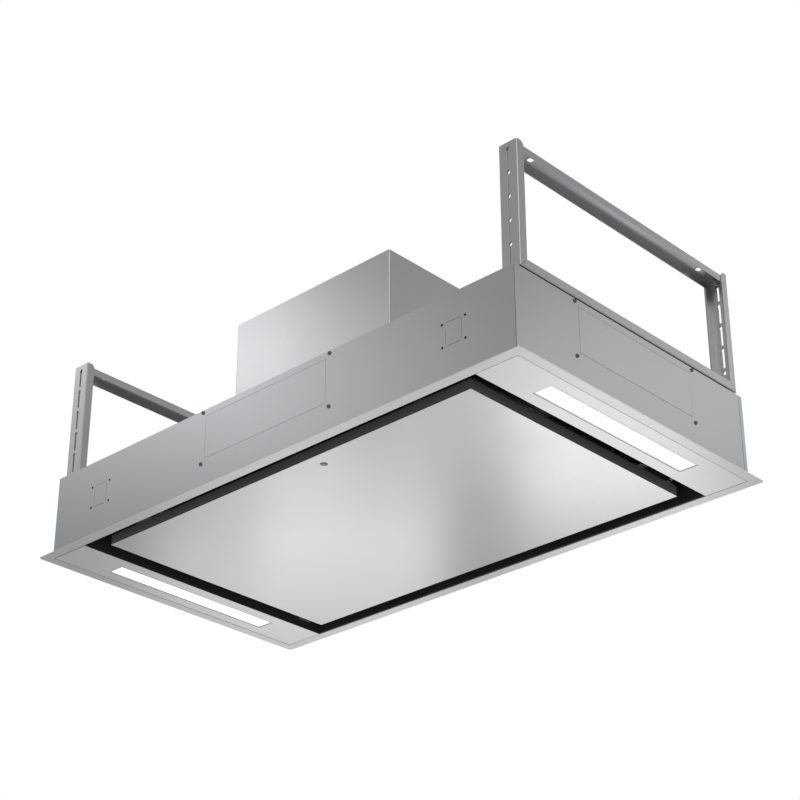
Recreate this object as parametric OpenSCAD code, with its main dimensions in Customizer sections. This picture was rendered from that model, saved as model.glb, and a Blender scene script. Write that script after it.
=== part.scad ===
// Ceiling range hood with a perimeter suction panel, lights, blower and telescopic brackets.
// Millimetres. Origin: middle of the trim frame's underside. +X right, +Y rear, +Z up.

/* [Trim frame] */
// Length of the trim frame, left to right
frame_l = 900; // [860:10:1000]
// Depth of the trim frame, front to rear
frame_w = 500; // [480:10:560]
// Sheet thickness of the trim frame
frame_t = 1.2; // [1:0.1:1.5]
// Width that the frame shows outside the casing at the short ends
lip_x = 14; // [10:1:18]
// Width that the frame shows outside the casing along the long sides
lip_y = 13.5; // [10:0.5:18]
// Radius of the frame's outer corners
frame_r = 4; // [2:0.5:8]
// Height of the folded upstands inside the long walls
upstand_h = 12; // [8:1:16]

/* [Casing] */
// Height of the casing's top above the frame's underside
casing_h = 126; // [124:1:150]
// Sheet thickness of the casing
sheet = 1; // [0.8:0.1:1.2]
// Height of the folded tabs that join the sheets
tab_h = 12; // [8:1:14]
// Gap of the corner seams
seam = 0.6; // [0.4:0.1:0.8]
// Width of the front and rear walls' wrap round the corner
wrap = 8; // [6:1:12]
// Free gap between neighbouring sheets
fit = 0.3; // [0.2:0.05:0.4]

/* [Side outlets] */
// Length of the rectangular outlet in each wall
outlet_l = 231; // [200:1:240]
// Height of the rectangular outlet
outlet_h = 65; // [55:1:65]
// Gap line round the cover in its outlet
cover_gap = 0.6; // [0.4:0.1:1]
// How far the cover's backing laps over the wall
cover_lap = 8.5; // [7.5:0.5:8.5]
// Distance of the cover screws from the outlet's edges
screw_out = 6.5; // [5:0.5:6.5]

/* [Cable knock-outs] */
// Distance of each knock-out from the end of the front wall
knock_in = 99.4; // [80:0.2:120]
// Height of the knock-outs' middle above the frame's underside
knock_z = 70; // [60:1:80]
// Width of the knock-out tab
knock_w = 26.4; // [20:0.2:30]
// Height of the knock-out tab
knock_h = 33; // [26:1:36]
// Spacing of the four holes, left to right
knock_dx = 38; // [34:1:44]
// Spacing of the four holes, up and down
knock_dz = 32; // [24:1:36]
// Diameter of the four holes
knock_d = 3.5; // [3:0.1:4]
// Width of the slit round the tab
knock_slit = 0.6; // [0.4:0.1:1]

/* [Lights] */
// Width of the light plate at each short end
light_w = 67.5; // [60:0.5:80]
// Gap between the light plate's ends and the trim frame
light_gap = 0.8; // [0.5:0.1:1.5]
// Length of the light window
window_l = 300; // [240:5:340]
// Width of the light window
window_w = 30; // [24:1:34]
// How far the window's face is set back
window_back = 0.5; // [0.3:0.1:0.8]
// Shadow gap round the window
window_gap = 0.7; // [0.4:0.1:1]
// Thickness of the window's flange
window_t = 2; // [1.5:0.1:3]
// Height of the light housing
light_h = 18; // [14:1:24]
// LEDs on each board
led_count = 24; // [12:1:30]

/* [Suction panel] */
// Width of the suction slot at the short ends
slot_x = 28.5; // [24:0.5:32]
// Width of the suction slot along the long sides
slot_y = 25; // [22:0.5:30]
// How far the panel's face is set back from the frame's underside
panel_z = 0.6; // [0.3:0.1:1.5]
// Sheet thickness of the panel
panel_t = 1.2; // [1:0.1:1.5]
// Height of the tray above the panel's face
tray_h = 15; // [13:0.5:16]
// Height of the shadow line between the panel and its tray
shadow_h = 1.2; // [0.8:0.1:1.5]
// How far the shadow line is cut in
shadow_in = 3; // [2:0.5:4]
// Diameter of the receiver window
receiver_d = 10; // [8:0.5:14]
// Distance of the receiver window from the panel's front edge
receiver_in = 24; // [20:1:40]
// Distance of the receiver window from the middle, to the right
receiver_x = 63; // [40:1:90]

/* [Panel hinge and catches] */
// Distance of the hinge axis from the panel's rear edge
hinge_in = 9; // [8.5:0.5:11]
// Height of the hinge axis above the frame's underside
hinge_z = 25; // [24:0.5:28]
// Diameter of the hinge pins
pin_d = 6; // [5:0.5:7]
// Radial clearance of the hinge pins and of other running fits
run_fit = 0.05; // [0.03:0.01:0.08]
// Wall round the pin in the hinge arm
eye_wall = 3; // [2.5:0.5:4]
// Thickness of hinge arms, hinge brackets and strikes
strap_t = 2; // [1.5:0.1:2.5]
// Distance of the catches from the middle
catch_x = 250; // [180:5:290]
// Height of the catch plungers above the frame's underside
catch_z = 27; // [26:0.5:28]
// Diameter of the catch plungers
plunger_d = 6; // [5:0.5:7]
// Travel of the catch plungers
plunger_travel = 4.5; // [3:0.5:4.5]

/* [Grease filters] */
// Height of the filter plate above the frame's underside
plate_z = 50; // [49:1:56]
// Width of the bar between the two filters
filter_bar = 12; // [10:1:20]
// Distance of the filters from the ends of the recess
filter_end = 22; // [20:1:40]
// Distance of the filters from the long sides of the recess
filter_side = 40; // [36:1:60]
// Free gap round a filter in its opening
filter_gap = 1; // [0.6:0.1:1.5]
// Height of a filter
filter_h = 11; // [10:0.5:14]
// Width of the filter's rim
rim_w = 14; // [12:1:18]
// Width of the filter's front bar, which holds the latch
latch_bar = 32; // [30:1:40]
// Width of the latch
latch_w = 30; // [24:1:40]
// Travel of the latch
latch_travel = 5; // [4:0.5:6]
// Pitch of the pleats in the filter mesh
pleat = 12; // [10:1:16]
// Thickness of the filter mesh
mesh_t = 1; // [0.8:0.1:1.5]

/* [Motor box] */
// Length of the motor box, left to right
box_l = 301; // [300:1:330]
// Depth of the motor box, front to rear
box_w = 310; // [309:1:340]
// Height of the motor box above the casing
box_h = 180.5; // [179:0.5:200]
// Width of the foot flange round the motor box
foot_w = 12; // [10:1:16]

/* [Blower] */
// Diameter of the impeller
impeller_d = 190; // [180:1:192]
// Height of the impeller's blades
blade_h = 108; // [96:1:110]
// Radial depth of the blades
blade_w = 17; // [12:1:20]
// Number of blades
blade_count = 36; // [24:1:42]
// Thickness of a blade
blade_t = 1.2; // [1:0.1:1.6]
// Gap between the impeller and the scroll's tongue
tongue_gap = 12; // [9:0.5:12]
// How much the scroll's radius grows over its turn
scroll_grow = 41; // [36:1:41]
// Sheet thickness of the scroll
scroll_t = 1.2; // [1:0.1:1.5]
// Height of the blower's rubber feet
feet_h = 14; // [12:1:15]
// Diameter of the motor
motor_d = 94; // [80:1:98]
// Diameter of the motor shaft
shaft_d = 8; // [6:0.5:10]

/* [Duct outlet] */
// Outside diameter of the duct spigot
spigot_d = 149; // [145:0.5:150]
// Length of the duct spigot
spigot_l = 60; // [50:1:80]
// Wall of the duct spigot
spigot_t = 1.5; // [1.2:0.1:2.5]
// Distance of the flap axle from the motor box
flap_in = 14; // [12:1:18]
// Thickness of the flaps
flap_t = 1.5; // [1.2:0.1:2]
// Diameter of the flap axle
axle_d = 4; // [3:0.5:5]

/* [Control box] */
// Length of the control box, left to right
control_l = 140; // [130:1:160]
// Depth of the control box, front to rear
control_w = 110; // [100:1:120]
// Height of the control box
control_h = 48; // [44:1:56]
// Gap between the control box and the motor box
control_off = 30; // [26:1:40]
// Diameter of the supply cable that the gland takes
cable_d = 9; // [7:0.5:10]
// Diameter of the internal leads
lead_d = 6; // [5:0.5:7]

/* [Ceiling brackets] */
// Width of the bracket's channel
bracket_w = 30; // [28:1:34]
// Depth of the bracket's channel
channel_d = 13; // [12:0.5:16]
// Length of each bracket, front to rear
bracket_l = 450; // [420:1:460]
// Height of the bracket above its spacers
bracket_h = 186.5; // [184:0.5:200]
// Sheet thickness of the brackets
bracket_t = 1.2; // [1:0.1:1.5]
// Height of the spacers between bracket and casing
spacer_h = 2.5; // [2:0.1:4]
// How far the upper bracket's bar lies below the post tops
bar_down = 4; // [3:0.5:6]
// Keyholes in each post
key_count = 5; // [3:1:5]
// Pitch of the keyholes
key_pitch = 35.2; // [34:0.1:35.5]
// Length of a keyhole
key_l = 30; // [26:0.5:31]
// Width of a keyhole's slot
key_w = 3.6; // [3:0.1:4]
// Diameter of a keyhole's round end
key_d = 5.4; // [5.2:0.1:6]
// Height of the lowest keyhole above the rail's underside
key_z = 8.7; // [6:0.1:12]
// Travel of the upper brackets
lift = 140; // [100:1:140]
// Distance between the ceiling bolts of one bracket
bolt_pitch = 360; // [300:5:380]
// Diameter of the ceiling bolt holes
bolt_hole_d = 9; // [7:0.5:10]
// Distance of the rail bolts from the middle, inner and outer
rail_bolts = [60, 170];

/* [Hidden] */
$fn = 48;

// How far a cutting body runs past the faces it cuts
over = 2;

// Faces of the casing
half_l = frame_l / 2;
half_w = frame_w / 2;
wall_x = half_l - lip_x;
wall_y = half_w - lip_y;
in_x = wall_x - sheet;
in_y = wall_y - sheet;

// Openings of the trim frame and of the slot
open_x = in_x + fit;
open_y = in_y - fit - frame_t;
slot_out_x = in_x - light_w;
panel_x = slot_out_x - slot_x;
panel_y = open_y - slot_y;

// Recess round the panel, and the filter plate above it
recess_x = slot_out_x + fit;
recess_y = open_y - fit - sheet;
recess_z = frame_t + fit;
plate_x = in_x - sheet - fit;
plate_y = in_y - sheet - fit;
tab_x = outlet_l / 2 + cover_lap + foot_w;

// Side outlets and their covers
outlet_z0 = plate_z + sheet;

// Screws of the casing: each holds two sheets
screw_d = 3;
screw_head_d = 5.5;
screw_head_h = 1.6;
screw_l = 2 * sheet + fit;

// Light window and board
light_cx = slot_out_x + light_w / 2;
window_flange = 2.5;
housing_wall = 1;
board_t = 1.6;
led_size = 3;
led_h = 0.8;

// Panel hinge and catch
hinge_y = panel_y - hinge_in;
tray_top = panel_z + tray_h;
eye_r = pin_d / 2 + eye_wall;
arm_x = panel_x - fit;
boss_d = 12;
plunger_out = 9;
catch_in = 14.5;
catch_face_y = recess_y - fit - catch_in;
catch_tip_y = catch_face_y - plunger_out;
lip_w = 7;
strike_y = catch_tip_y - plunger_d / 2;
strike_w = 16;
catch_block = 18;

// Filters
filter_x0 = filter_bar / 2;
filter_x1 = recess_x - filter_end;
filter_y = recess_y - filter_side;
groove = 4;
latch_z = plate_z + filter_h / 2;
latch_t = 3;
tongue_w = 18;
tongue_t = 2;
finger_t = 2;
finger_h = 7;

// Motor box and blower
box_x = box_l / 2;
box_y = box_w / 2;
box_top = casing_h + box_h;
impeller_r = impeller_d / 2;
tongue_angle = 60;
scroll_r0 = impeller_r + tongue_gap;
scroll_r1 = scroll_r0 + scroll_grow;
scroll_x = box_x - sheet - fit - 2 * scroll_t - scroll_r1;
forward_share = 3 / 62;
scroll_y = -forward_share * box_w;
tongue_share = 5;
scroll_z = casing_h + feet_h;
scroll_in_h = spigot_d;
scroll_top = scroll_z + scroll_t + scroll_in_h;
blade_z = scroll_z + scroll_t + tongue_gap;
bell_r = impeller_r - blade_w - 2 * blade_t;
bell_mouth_r = impeller_r - 4 * blade_t;
cup_r = motor_d / 2 + 5 * blade_t;
cup_share = 0.6;
cup_depth = cup_share * blade_h;
cup_z = blade_z + blade_h - cup_depth;
hub_d = 3 * shaft_d;
motor_low = cup_z + 6 * blade_t;
bracket_ring_t = 2;
foot_in = 3;
lid_share = 0.6;
cap_share = 0.3;

// Duct spigot and flaps
spigot_r = spigot_d / 2;
spigot_x = scroll_x + scroll_r1 - spigot_r;
spigot_z = scroll_z + scroll_t + spigot_r;
bore_r = spigot_r - spigot_t;
flap_y = box_y + flap_in;
barrel_d = axle_d + 2 * flap_t;
flap_gap = 0.8;
flange_r = spigot_r + sheet + 2 * scroll_t;
flange_screw = flange_r - 2 * screw_d;

// Control box on the casing, left of the motor box
control_x1 = -box_x - foot_w - control_off;
control_x0 = control_x1 - control_l;
control_y0 = box_y / 4;
control_y1 = control_y0 + control_w;
gland_z = casing_h + control_h / 2;
gland_y = (control_y0 + control_y1) / 2;
gland_r = 1.3 * cable_d;
gland_nose_r = 0.95 * cable_d;

// Brackets
rail_z = casing_h + spacer_h;
bracket_cx = wall_x - bracket_w / 2;
post_y = bracket_l / 2;
post_top = rail_z + bracket_h;
slide_gap = 0.3;
leg_y = post_y - bracket_t - slide_gap;
leg_w = bracket_w - 2 * (bracket_t + slide_gap);
bar_top = post_top - bar_down;
rail_bolt_d = 6;
rail_hole_d = 6.6;
spacer_d = 20;
clamp_d = 4.4;
clamp_z = rail_z + key_z + (key_count - 1) * key_pitch + key_l - key_d / 2;

// Colours
steel = [0.78, 0.79, 0.80];
galvanised = [0.60, 0.62, 0.63];
bracket_grey = [0.56, 0.57, 0.57];
recess_black = [0.10, 0.10, 0.11];
dark_grey = [0.25, 0.26, 0.27];
light_white = [0.97, 0.97, 0.95];
rubber_black = [0.06, 0.06, 0.06];
board_green = [0.10, 0.35, 0.18];
plastic_white = [0.88, 0.88, 0.86];

// A box between two opposite corners
module block(x0, x1, y0, y1, z0, z1) {
    translate([x0, y0, z0])
        cube([x1 - x0, y1 - y0, z1 - z0]);
}

// A cylinder along X between two places
module rod_x(x0, x1, y, z, r) {
    translate([x0, y, z])
        rotate([0, 90, 0])
            cylinder(r = r, h = x1 - x0);
}

// A cylinder along Y between two places
module rod_y(y0, y1, x, z, r) {
    translate([x, y0, z])
        rotate([-90, 0, 0])
            cylinder(r = r, h = y1 - y0);
}

// A cylinder along Z between two heights
module rod_z(x, y, z0, z1, r) {
    translate([x, y, z0])
        cylinder(r = r, h = z1 - z0);
}

// Its children, turned half round for the left side
module side(s) {
    rotate([0, 0, s > 0 ? 0 : 180])
        children();
}

// Its children, mirrored to the left side
module hand(s) {
    if (s > 0)
        children();
    else
        mirror([1, 0, 0])
            children();
}

// Trim frame: flat ring with folded upstands inside the long walls
module trim_frame() {
    color(steel)
        difference() {
            union() {
                block(-half_l + frame_r, half_l - frame_r, -half_w, half_w, 0, frame_t);
                block(-half_l, half_l, -half_w + frame_r, half_w - frame_r, 0, frame_t);
                for (x = [-half_l + frame_r, half_l - frame_r])
                    for (y = [-half_w + frame_r, half_w - frame_r])
                        rod_z(x, y, 0, frame_t, frame_r);
                for (s = [-1, 1])
                    side(s)
                        block(-plate_x + tab_h, plate_x - tab_h, open_y, open_y + frame_t, 0, upstand_h);
            }
            block(-open_x, open_x, -open_y, open_y, -over, frame_t + over);
        }
}

// Holes of the rectangular outlet, cut through a wall that faces -Y at y
module outlet_cut(y) {
    block(-outlet_l / 2, outlet_l / 2, y - over, y + sheet + over, outlet_z0, outlet_z0 + outlet_h);
    for (x = [-outlet_l / 2 - screw_out, outlet_l / 2 + screw_out])
        for (z = [outlet_z0 - screw_out, outlet_z0 + outlet_h + screw_out])
            rod_y(y - over, y + sheet + over, x, z, screw_d / 2 + run_fit);
}

// One cable knock-out: four holes and a slit that leaves the tab's corners
module knock_out_cut(x, y) {
    bridge = 3 * knock_slit;
    for (sx = [-1, 1]) {
        for (sz = [-1, 1])
            rod_y(y - over, y + sheet + over, x + sx * knock_dx / 2, knock_z + sz * knock_dz / 2,
                  knock_d / 2);
        block(x + sx * knock_w / 2 - knock_slit / 2, x + sx * knock_w / 2 + knock_slit / 2,
              y - over, y + sheet + over,
              knock_z - knock_h / 2 + bridge, knock_z + knock_h / 2 - bridge);
        block(x - knock_w / 2 + bridge, x + knock_w / 2 - bridge, y - over, y + sheet + over,
              knock_z + sx * knock_h / 2 - knock_slit / 2, knock_z + sx * knock_h / 2 + knock_slit / 2);
    }
}

// Long wall that faces -Y, with its wrap at the left and its inner tab at the right
module long_wall(knock_outs) {
    seam_x = in_x - seam;
    difference() {
        union() {
            block(-wall_x, seam_x, -wall_y, -in_y, frame_t, casing_h);
            block(-wall_x, -in_x, -wall_y, -wall_y + wrap, frame_t, casing_h);
            block(seam_x - sheet, seam_x, -wall_y, -in_y + tab_h, frame_t, casing_h - sheet - fit);
        }
        outlet_cut(-wall_y);
        if (knock_outs)
            for (s = [-1, 1])
                knock_out_cut(s * (wall_x - knock_in), -wall_y);
        block(seam_x - sheet - over, seam_x + over, -in_y + seam, -in_y + tab_h + over,
              plate_z - fit, plate_z + sheet + fit);
    }
}

module front_wall() {
    color(galvanised)
        long_wall(true);
}

module rear_wall() {
    color(galvanised)
        rotate([0, 0, 180])
            long_wall(false);
}

// Short wall that faces +X, between the front seam and the rear wall's wrap
module short_wall() {
    difference() {
        block(in_x, wall_x, -wall_y, wall_y - wrap - seam, frame_t, casing_h);
        rotate([0, 0, 90])
            outlet_cut(-wall_x);
    }
}

module right_wall() {
    color(galvanised)
        short_wall();
}

module left_wall() {
    color(galvanised)
        rotate([0, 0, 180])
            short_wall();
}

// Top plate with folded tabs, the blower's inlet and holes for bolts and leads
module top_plate() {
    x1 = in_x - fit;
    y1 = in_y - fit;
    z0 = casing_h - sheet;
    color(galvanised)
        difference() {
            union() {
                block(-x1, x1, -y1, y1, z0, casing_h);
                for (s = [-1, 1])
                    side(s)
                        for (t = [-1, 1])
                            hand(t) {
                                block(tab_x, in_x - 2 * tab_h, y1 - sheet, y1, z0 - tab_h, z0);
                                rotate([0, 0, 90])
                                    block(tab_x, in_y - 3 * tab_h, x1 - sheet, x1, z0 - tab_h, z0);
                            }
            }
            rod_z(scroll_x, scroll_y, z0 - over, casing_h + over, bell_mouth_r + fit);
            at_foot_screws()
                rod_z(0, 0, z0 - over, casing_h + over, screw_d / 2 + run_fit);
            for (s = [-1, 1])
                for (t = [-1, 1])
                    for (b = rail_bolts)
                        rod_z(s * bracket_cx, t * b, z0 - over, casing_h + over, rail_hole_d / 2);
            for (p = lead_holes)
                rod_z(p[0], p[1], z0 - over, casing_h + over, lead_d / 2 + fit);
        }
}

// Cover of one side outlet, for the wall that faces -Y at y
module outlet_cover(y) {
    difference() {
        union() {
            block(-outlet_l / 2 + cover_gap, outlet_l / 2 - cover_gap, y, y + sheet,
                  outlet_z0 + cover_gap, outlet_z0 + outlet_h - cover_gap);
            block(-outlet_l / 2 - cover_lap, outlet_l / 2 + cover_lap, y + sheet, y + 2 * sheet,
                  outlet_z0 - cover_lap, outlet_z0 + outlet_h + cover_lap);
        }
        for (x = [-outlet_l / 2 - screw_out, outlet_l / 2 + screw_out])
            for (z = [outlet_z0 - screw_out, outlet_z0 + outlet_h + screw_out])
                rod_y(y - over, y + 2 * sheet + over, x, z, screw_d / 2 + run_fit);
    }
}

module outlet_covers() {
    color(galvanised)
        for (s = [-1, 1])
            side(s) {
                outlet_cover(-wall_y);
                rotate([0, 0, 90])
                    outlet_cover(-wall_x);
            }
}

// Pan-head screw whose head sits on a face at the origin and points up
module sheet_screw() {
    rod_z(0, 0, 0, screw_head_h, screw_head_d / 2);
    rod_z(0, 0, -screw_l, 0, screw_d / 2);
}

// Places of the screws in the motor box's foot flange
module at_foot_screws() {
    for (sx = [-1, 1])
        for (sy = [-1, 1])
            translate([sx * (box_x + foot_w / 2), sy * box_y / 2, 0])
                children();
}

// Places of the screws in the spigot's flange, on the motor box's rear face
module at_flange_screws() {
    for (sx = [-1, 1])
        for (sz = [-1, 1])
            translate([spigot_x + sx * flange_screw, box_y, spigot_z + sz * flange_screw])
                children();
}

// Screws of the four covers, of the motor box's foot and of the spigot
module sheet_screws() {
    color(galvanised) {
        for (s = [-1, 1])
            side(s)
                for (turn = [0, 90])
                    rotate([0, 0, turn])
                        for (x = [-outlet_l / 2 - screw_out, outlet_l / 2 + screw_out])
                            for (z = [outlet_z0 - screw_out, outlet_z0 + outlet_h + screw_out])
                                translate([x, turn == 0 ? -wall_y : -wall_x, z])
                                    rotate([90, 0, 0])
                                        sheet_screw();
        at_foot_screws()
            translate([0, 0, casing_h + sheet])
                sheet_screw();
        at_flange_screws()
            translate([0, sheet, 0])
                rotate([-90, 0, 0])
                    sheet_screw();
    }
}

// Intake frame: filter plate, collars round the filters and the walls of the recess
module intake_frame() {
    color(recess_black)
        difference() {
            union() {
                block(-plate_x, plate_x, -plate_y, plate_y, plate_z, plate_z + sheet);
                for (s = [-1, 1]) {
                    side(s) {
                        block(recess_x, recess_x + sheet, -recess_y - sheet, recess_y + sheet,
                              recess_z, plate_z);
                        block(-recess_x - sheet, recess_x + sheet, recess_y, recess_y + sheet,
                              recess_z, plate_z);
                    }
                    hand(s)
                        block(filter_x0 - sheet, filter_x1 + sheet, -filter_y - sheet, filter_y + sheet,
                              plate_z, plate_z + filter_h + sheet);
                }
            }
            for (s = [-1, 1])
                hand(s) {
                    block(filter_x0, filter_x1, -filter_y, filter_y, plate_z - over,
                          plate_z + filter_h + sheet + over);
                    filter_slots();
                    rod_z(light_cx, lead_y, plate_z - over, plate_z + sheet + over, lead_d / 2 + fit);
                }
        }
}

// Slots in a filter's collar: one for the latch tongue, two for the fixed tabs
module filter_slots() {
    cx = (filter_x0 + filter_x1) / 2;
    block(cx - tongue_w / 2 - fit, cx + tongue_w / 2 + fit, -filter_y - sheet - over, -filter_y + over,
          latch_z - tongue_t / 2 - fit, latch_z + tongue_t / 2 + fit);
    for (x = [filter_x0 + rim_w * 3, filter_x1 - rim_w * 3])
        block(x - tongue_w / 2 - fit, x + tongue_w / 2 + fit, filter_y - over, filter_y + sheet + over,
              latch_z - tongue_t / 2 - fit, latch_z + tongue_t / 2 + fit);
}

// Light plate of the right end: sheet with folds and the window's opening
module light_plate() {
    z0 = fit / 2;
    x1 = in_x - fit;
    y1 = open_y - light_gap;
    fold_y = in_y - tab_h - seam;
    color(steel)
        difference() {
            union() {
                block(slot_out_x, x1, -y1, y1, z0, z0 + sheet);
                block(x1 - sheet, x1, -fold_y, fold_y, z0, z0 + upstand_h);
            }
            block(light_cx - window_w / 2, light_cx + window_w / 2, -window_l / 2, window_l / 2,
                  z0 - over, z0 + sheet + over);
        }
}

module light_plate_right() {
    light_plate();
}

module light_plate_left() {
    rotate([0, 0, 180])
        light_plate();
}

// Diffuser: its face stands in the opening, its flange lies on the light plate
module light_window() {
    z0 = fit / 2;
    flange_z = z0 + sheet;
    color(light_white) {
        block(light_cx - window_w / 2 + window_gap, light_cx + window_w / 2 - window_gap,
              -window_l / 2 + window_gap, window_l / 2 - window_gap, z0 + window_back, flange_z);
        block(light_cx - window_w / 2 - window_flange, light_cx + window_w / 2 + window_flange,
              -window_l / 2 - window_flange, window_l / 2 + window_flange,
              flange_z, flange_z + window_t);
    }
}

module light_window_right() {
    light_window();
}

module light_window_left() {
    rotate([0, 0, 180])
        light_window();
}

// Housing over the window, open below, with side feet on the light plate
module light_housing() {
    z0 = fit / 2 + sheet;
    hx = window_w / 2 + window_flange + fit;
    hy = window_l / 2 + window_flange + fit;
    color(dark_grey)
        difference() {
            union() {
                block(light_cx - hx - housing_wall, light_cx + hx + housing_wall,
                      -hy - housing_wall, hy + housing_wall, z0, z0 + light_h);
                block(light_cx - hx - housing_wall - window_flange,
                      light_cx + hx + housing_wall + window_flange,
                      -hy - tab_h, hy + tab_h, z0, z0 + housing_wall);
            }
            block(light_cx - hx, light_cx + hx, -hy, hy, z0 - over, z0 + light_h - housing_wall);
            rod_z(light_cx, lead_y, z0, z0 + light_h + over, lead_d / 2 + fit);
        }
}

module light_housings() {
    light_housing();
    mirror([1, 0, 0])
        light_housing();
}

// Light board under the housing's top, with its row of LEDs
module light_board() {
    z1 = fit / 2 + sheet + light_h - housing_wall;
    by = lead_y - 2 * lead_d;
    pitch = (by + window_l / 2 - 2 * led_size) / led_count;
    color(plastic_white) {
        block(light_cx - window_w / 3, light_cx + window_w / 3, -window_l / 2, by, z1 - board_t, z1);
        for (i = [0 : led_count - 1])
            translate([light_cx - led_size / 2, -window_l / 2 + led_size + i * pitch,
                       z1 - board_t - led_h])
                cube([led_size, led_size, led_h]);
    }
}

module light_boards() {
    light_board();
    mirror([1, 0, 0])
        light_board();
}

// Filter frame of the right side: rim with a groove for the mesh and the latch's pocket
module filter_frame() {
    x0 = filter_x0 + filter_gap;
    x1 = filter_x1 - filter_gap;
    y1 = filter_y - filter_gap;
    z1 = plate_z + filter_h;
    cx = (filter_x0 + filter_x1) / 2;
    skin = filter_h / 6;
    color(galvanised)
        difference() {
            union() {
                block(x0, x1, -y1, y1, plate_z, z1);
                for (x = [filter_x0 + rim_w * 3, filter_x1 - rim_w * 3])
                    block(x - tongue_w / 2, x + tongue_w / 2, y1 - over, y1 + rim_w / 2,
                          latch_z - tongue_t / 2, latch_z + tongue_t / 2);
            }
            block(x0 + rim_w, x1 - rim_w, -y1 + latch_bar, y1 - rim_w, plate_z - over, z1 + over);
            block(x0 + rim_w - groove, x1 - rim_w + groove, -y1 + latch_bar - groove,
                  y1 - rim_w + groove, plate_z + skin, z1 - skin);
            block(cx - latch_w / 2 - fit, cx + latch_w / 2 + fit, -y1 + groove,
                  -y1 + groove + latch_body + latch_travel + fit,
                  latch_z - latch_t / 2 - fit, latch_z + latch_t / 2 + fit);
            block(cx - tongue_w / 2 - fit, cx + tongue_w / 2 + fit, -y1 - over, -y1 + groove + over,
                  latch_z - tongue_t / 2 - fit, latch_z + tongue_t / 2 + fit);
            block(cx - tongue_w / 2 - fit, cx + tongue_w / 2 + fit, finger_y - finger_t - fit,
                  finger_y + latch_travel + fit, plate_z - over, latch_z);
        }
}
latch_body = latch_bar / 2 - groove;
finger_y = -filter_y + filter_gap + groove + latch_body - over;

module filter_frame_right() {
    filter_frame();
}

module filter_frame_left() {
    mirror([1, 0, 0])
        filter_frame();
}

// Pleated mesh that lies in the frame's groove
module filter_mesh() {
    x0 = filter_x0 + filter_gap + rim_w - groove + fit;
    x1 = filter_x1 - filter_gap - rim_w + groove - fit;
    y0 = -filter_y + filter_gap + latch_bar - groove + fit;
    y1 = filter_y - filter_gap - rim_w + groove - fit;
    skin = filter_h / 6;
    high = filter_h - 2 * skin - 2 * fit - mesh_t;
    z0 = plate_z + skin + fit;
    count = floor((x1 - x0) / pleat);
    step = (x1 - x0) / count;
    low_line = [for (i = [0 : 2 * count]) [x0 + i * step / 2, i % 2 == 0 ? 0 : high]];
    high_line = [for (i = [2 * count : -1 : 0]) [x0 + i * step / 2, (i % 2 == 0 ? 0 : high) + mesh_t]];
    color(steel)
        translate([0, y1, z0])
            rotate([90, 0, 0])
                linear_extrude(height = y1 - y0)
                    polygon(concat(low_line, high_line));
}

module filter_mesh_right() {
    filter_mesh();
}

module filter_mesh_left() {
    mirror([1, 0, 0])
        filter_mesh();
}

// Sprung latch of the right filter: slider, tongue and finger tab
module filter_latch() {
    cx = (filter_x0 + filter_x1) / 2;
    y0 = -filter_y + filter_gap + groove + fit;
    color(dark_grey) {
        block(cx - latch_w / 2, cx + latch_w / 2, y0, y0 + latch_body - fit,
              latch_z - latch_t / 2, latch_z + latch_t / 2);
        block(cx - tongue_w / 2, cx + tongue_w / 2, -filter_y - sheet - latch_travel / 2, y0,
              latch_z - tongue_t / 2, latch_z + tongue_t / 2);
        block(cx - tongue_w / 2, cx + tongue_w / 2, finger_y - finger_t, finger_y,
              plate_z - finger_h, latch_z);
    }
}

module filter_latch_right() {
    filter_latch();
}

module filter_latch_left() {
    mirror([1, 0, 0])
        filter_latch();
}

// Suction panel: flat sheet with the receiver's hole
module perimeter_panel() {
    color(steel)
        difference() {
            block(-panel_x, panel_x, -panel_y, panel_y, panel_z, panel_z + panel_t);
            rod_z(receiver_x, -panel_y + receiver_in, panel_z - over, panel_z + panel_t + over,
                  receiver_d / 2 + run_fit);
        }
}

// Tray on the panel's back, set on a narrower neck, with the two strikes of the catches
module panel_tray() {
    x1 = panel_x - fit;
    y1 = panel_y - fit;
    neck_z = panel_z + panel_t;
    side_z = neck_z + shadow_h;
    neck_x = x1 - shadow_in;
    neck_y = y1 - shadow_in;
    lip_z = catch_z + plunger_d / 2 + fit;
    color(recess_black) {
        difference() {
            union() {
                block(-x1, x1, -y1, y1, side_z, tray_top);
                block(-neck_x, neck_x, -neck_y, neck_y, neck_z, tray_top);
            }
            block(-neck_x + sheet, neck_x - sheet, -neck_y + sheet, neck_y - sheet,
                  neck_z - over, side_z + sheet);
            block(-x1 + sheet, x1 - sheet, -y1 + sheet, y1 - sheet, side_z + sheet, tray_top - sheet);
        }
        for (s = [-1, 1]) {
            block(s * catch_x - strike_w / 2, s * catch_x + strike_w / 2,
                  -strike_y, -strike_y + strap_t, tray_top - sheet, lip_z + strap_t);
            block(s * catch_x - strike_w / 2, s * catch_x + strike_w / 2,
                  -strike_y - lip_w, -strike_y, lip_z, lip_z + strap_t);
        }
    }
}

// Round receiver window in the panel
module receiver_window() {
    color(recess_black) {
        rod_z(receiver_x, -panel_y + receiver_in, panel_z - fit / 2, panel_z + panel_t, receiver_d / 2);
        rod_z(receiver_x, -panel_y + receiver_in, panel_z + panel_t, panel_z + 2 * panel_t,
              receiver_d / 2 + strap_t);
    }
}

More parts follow.
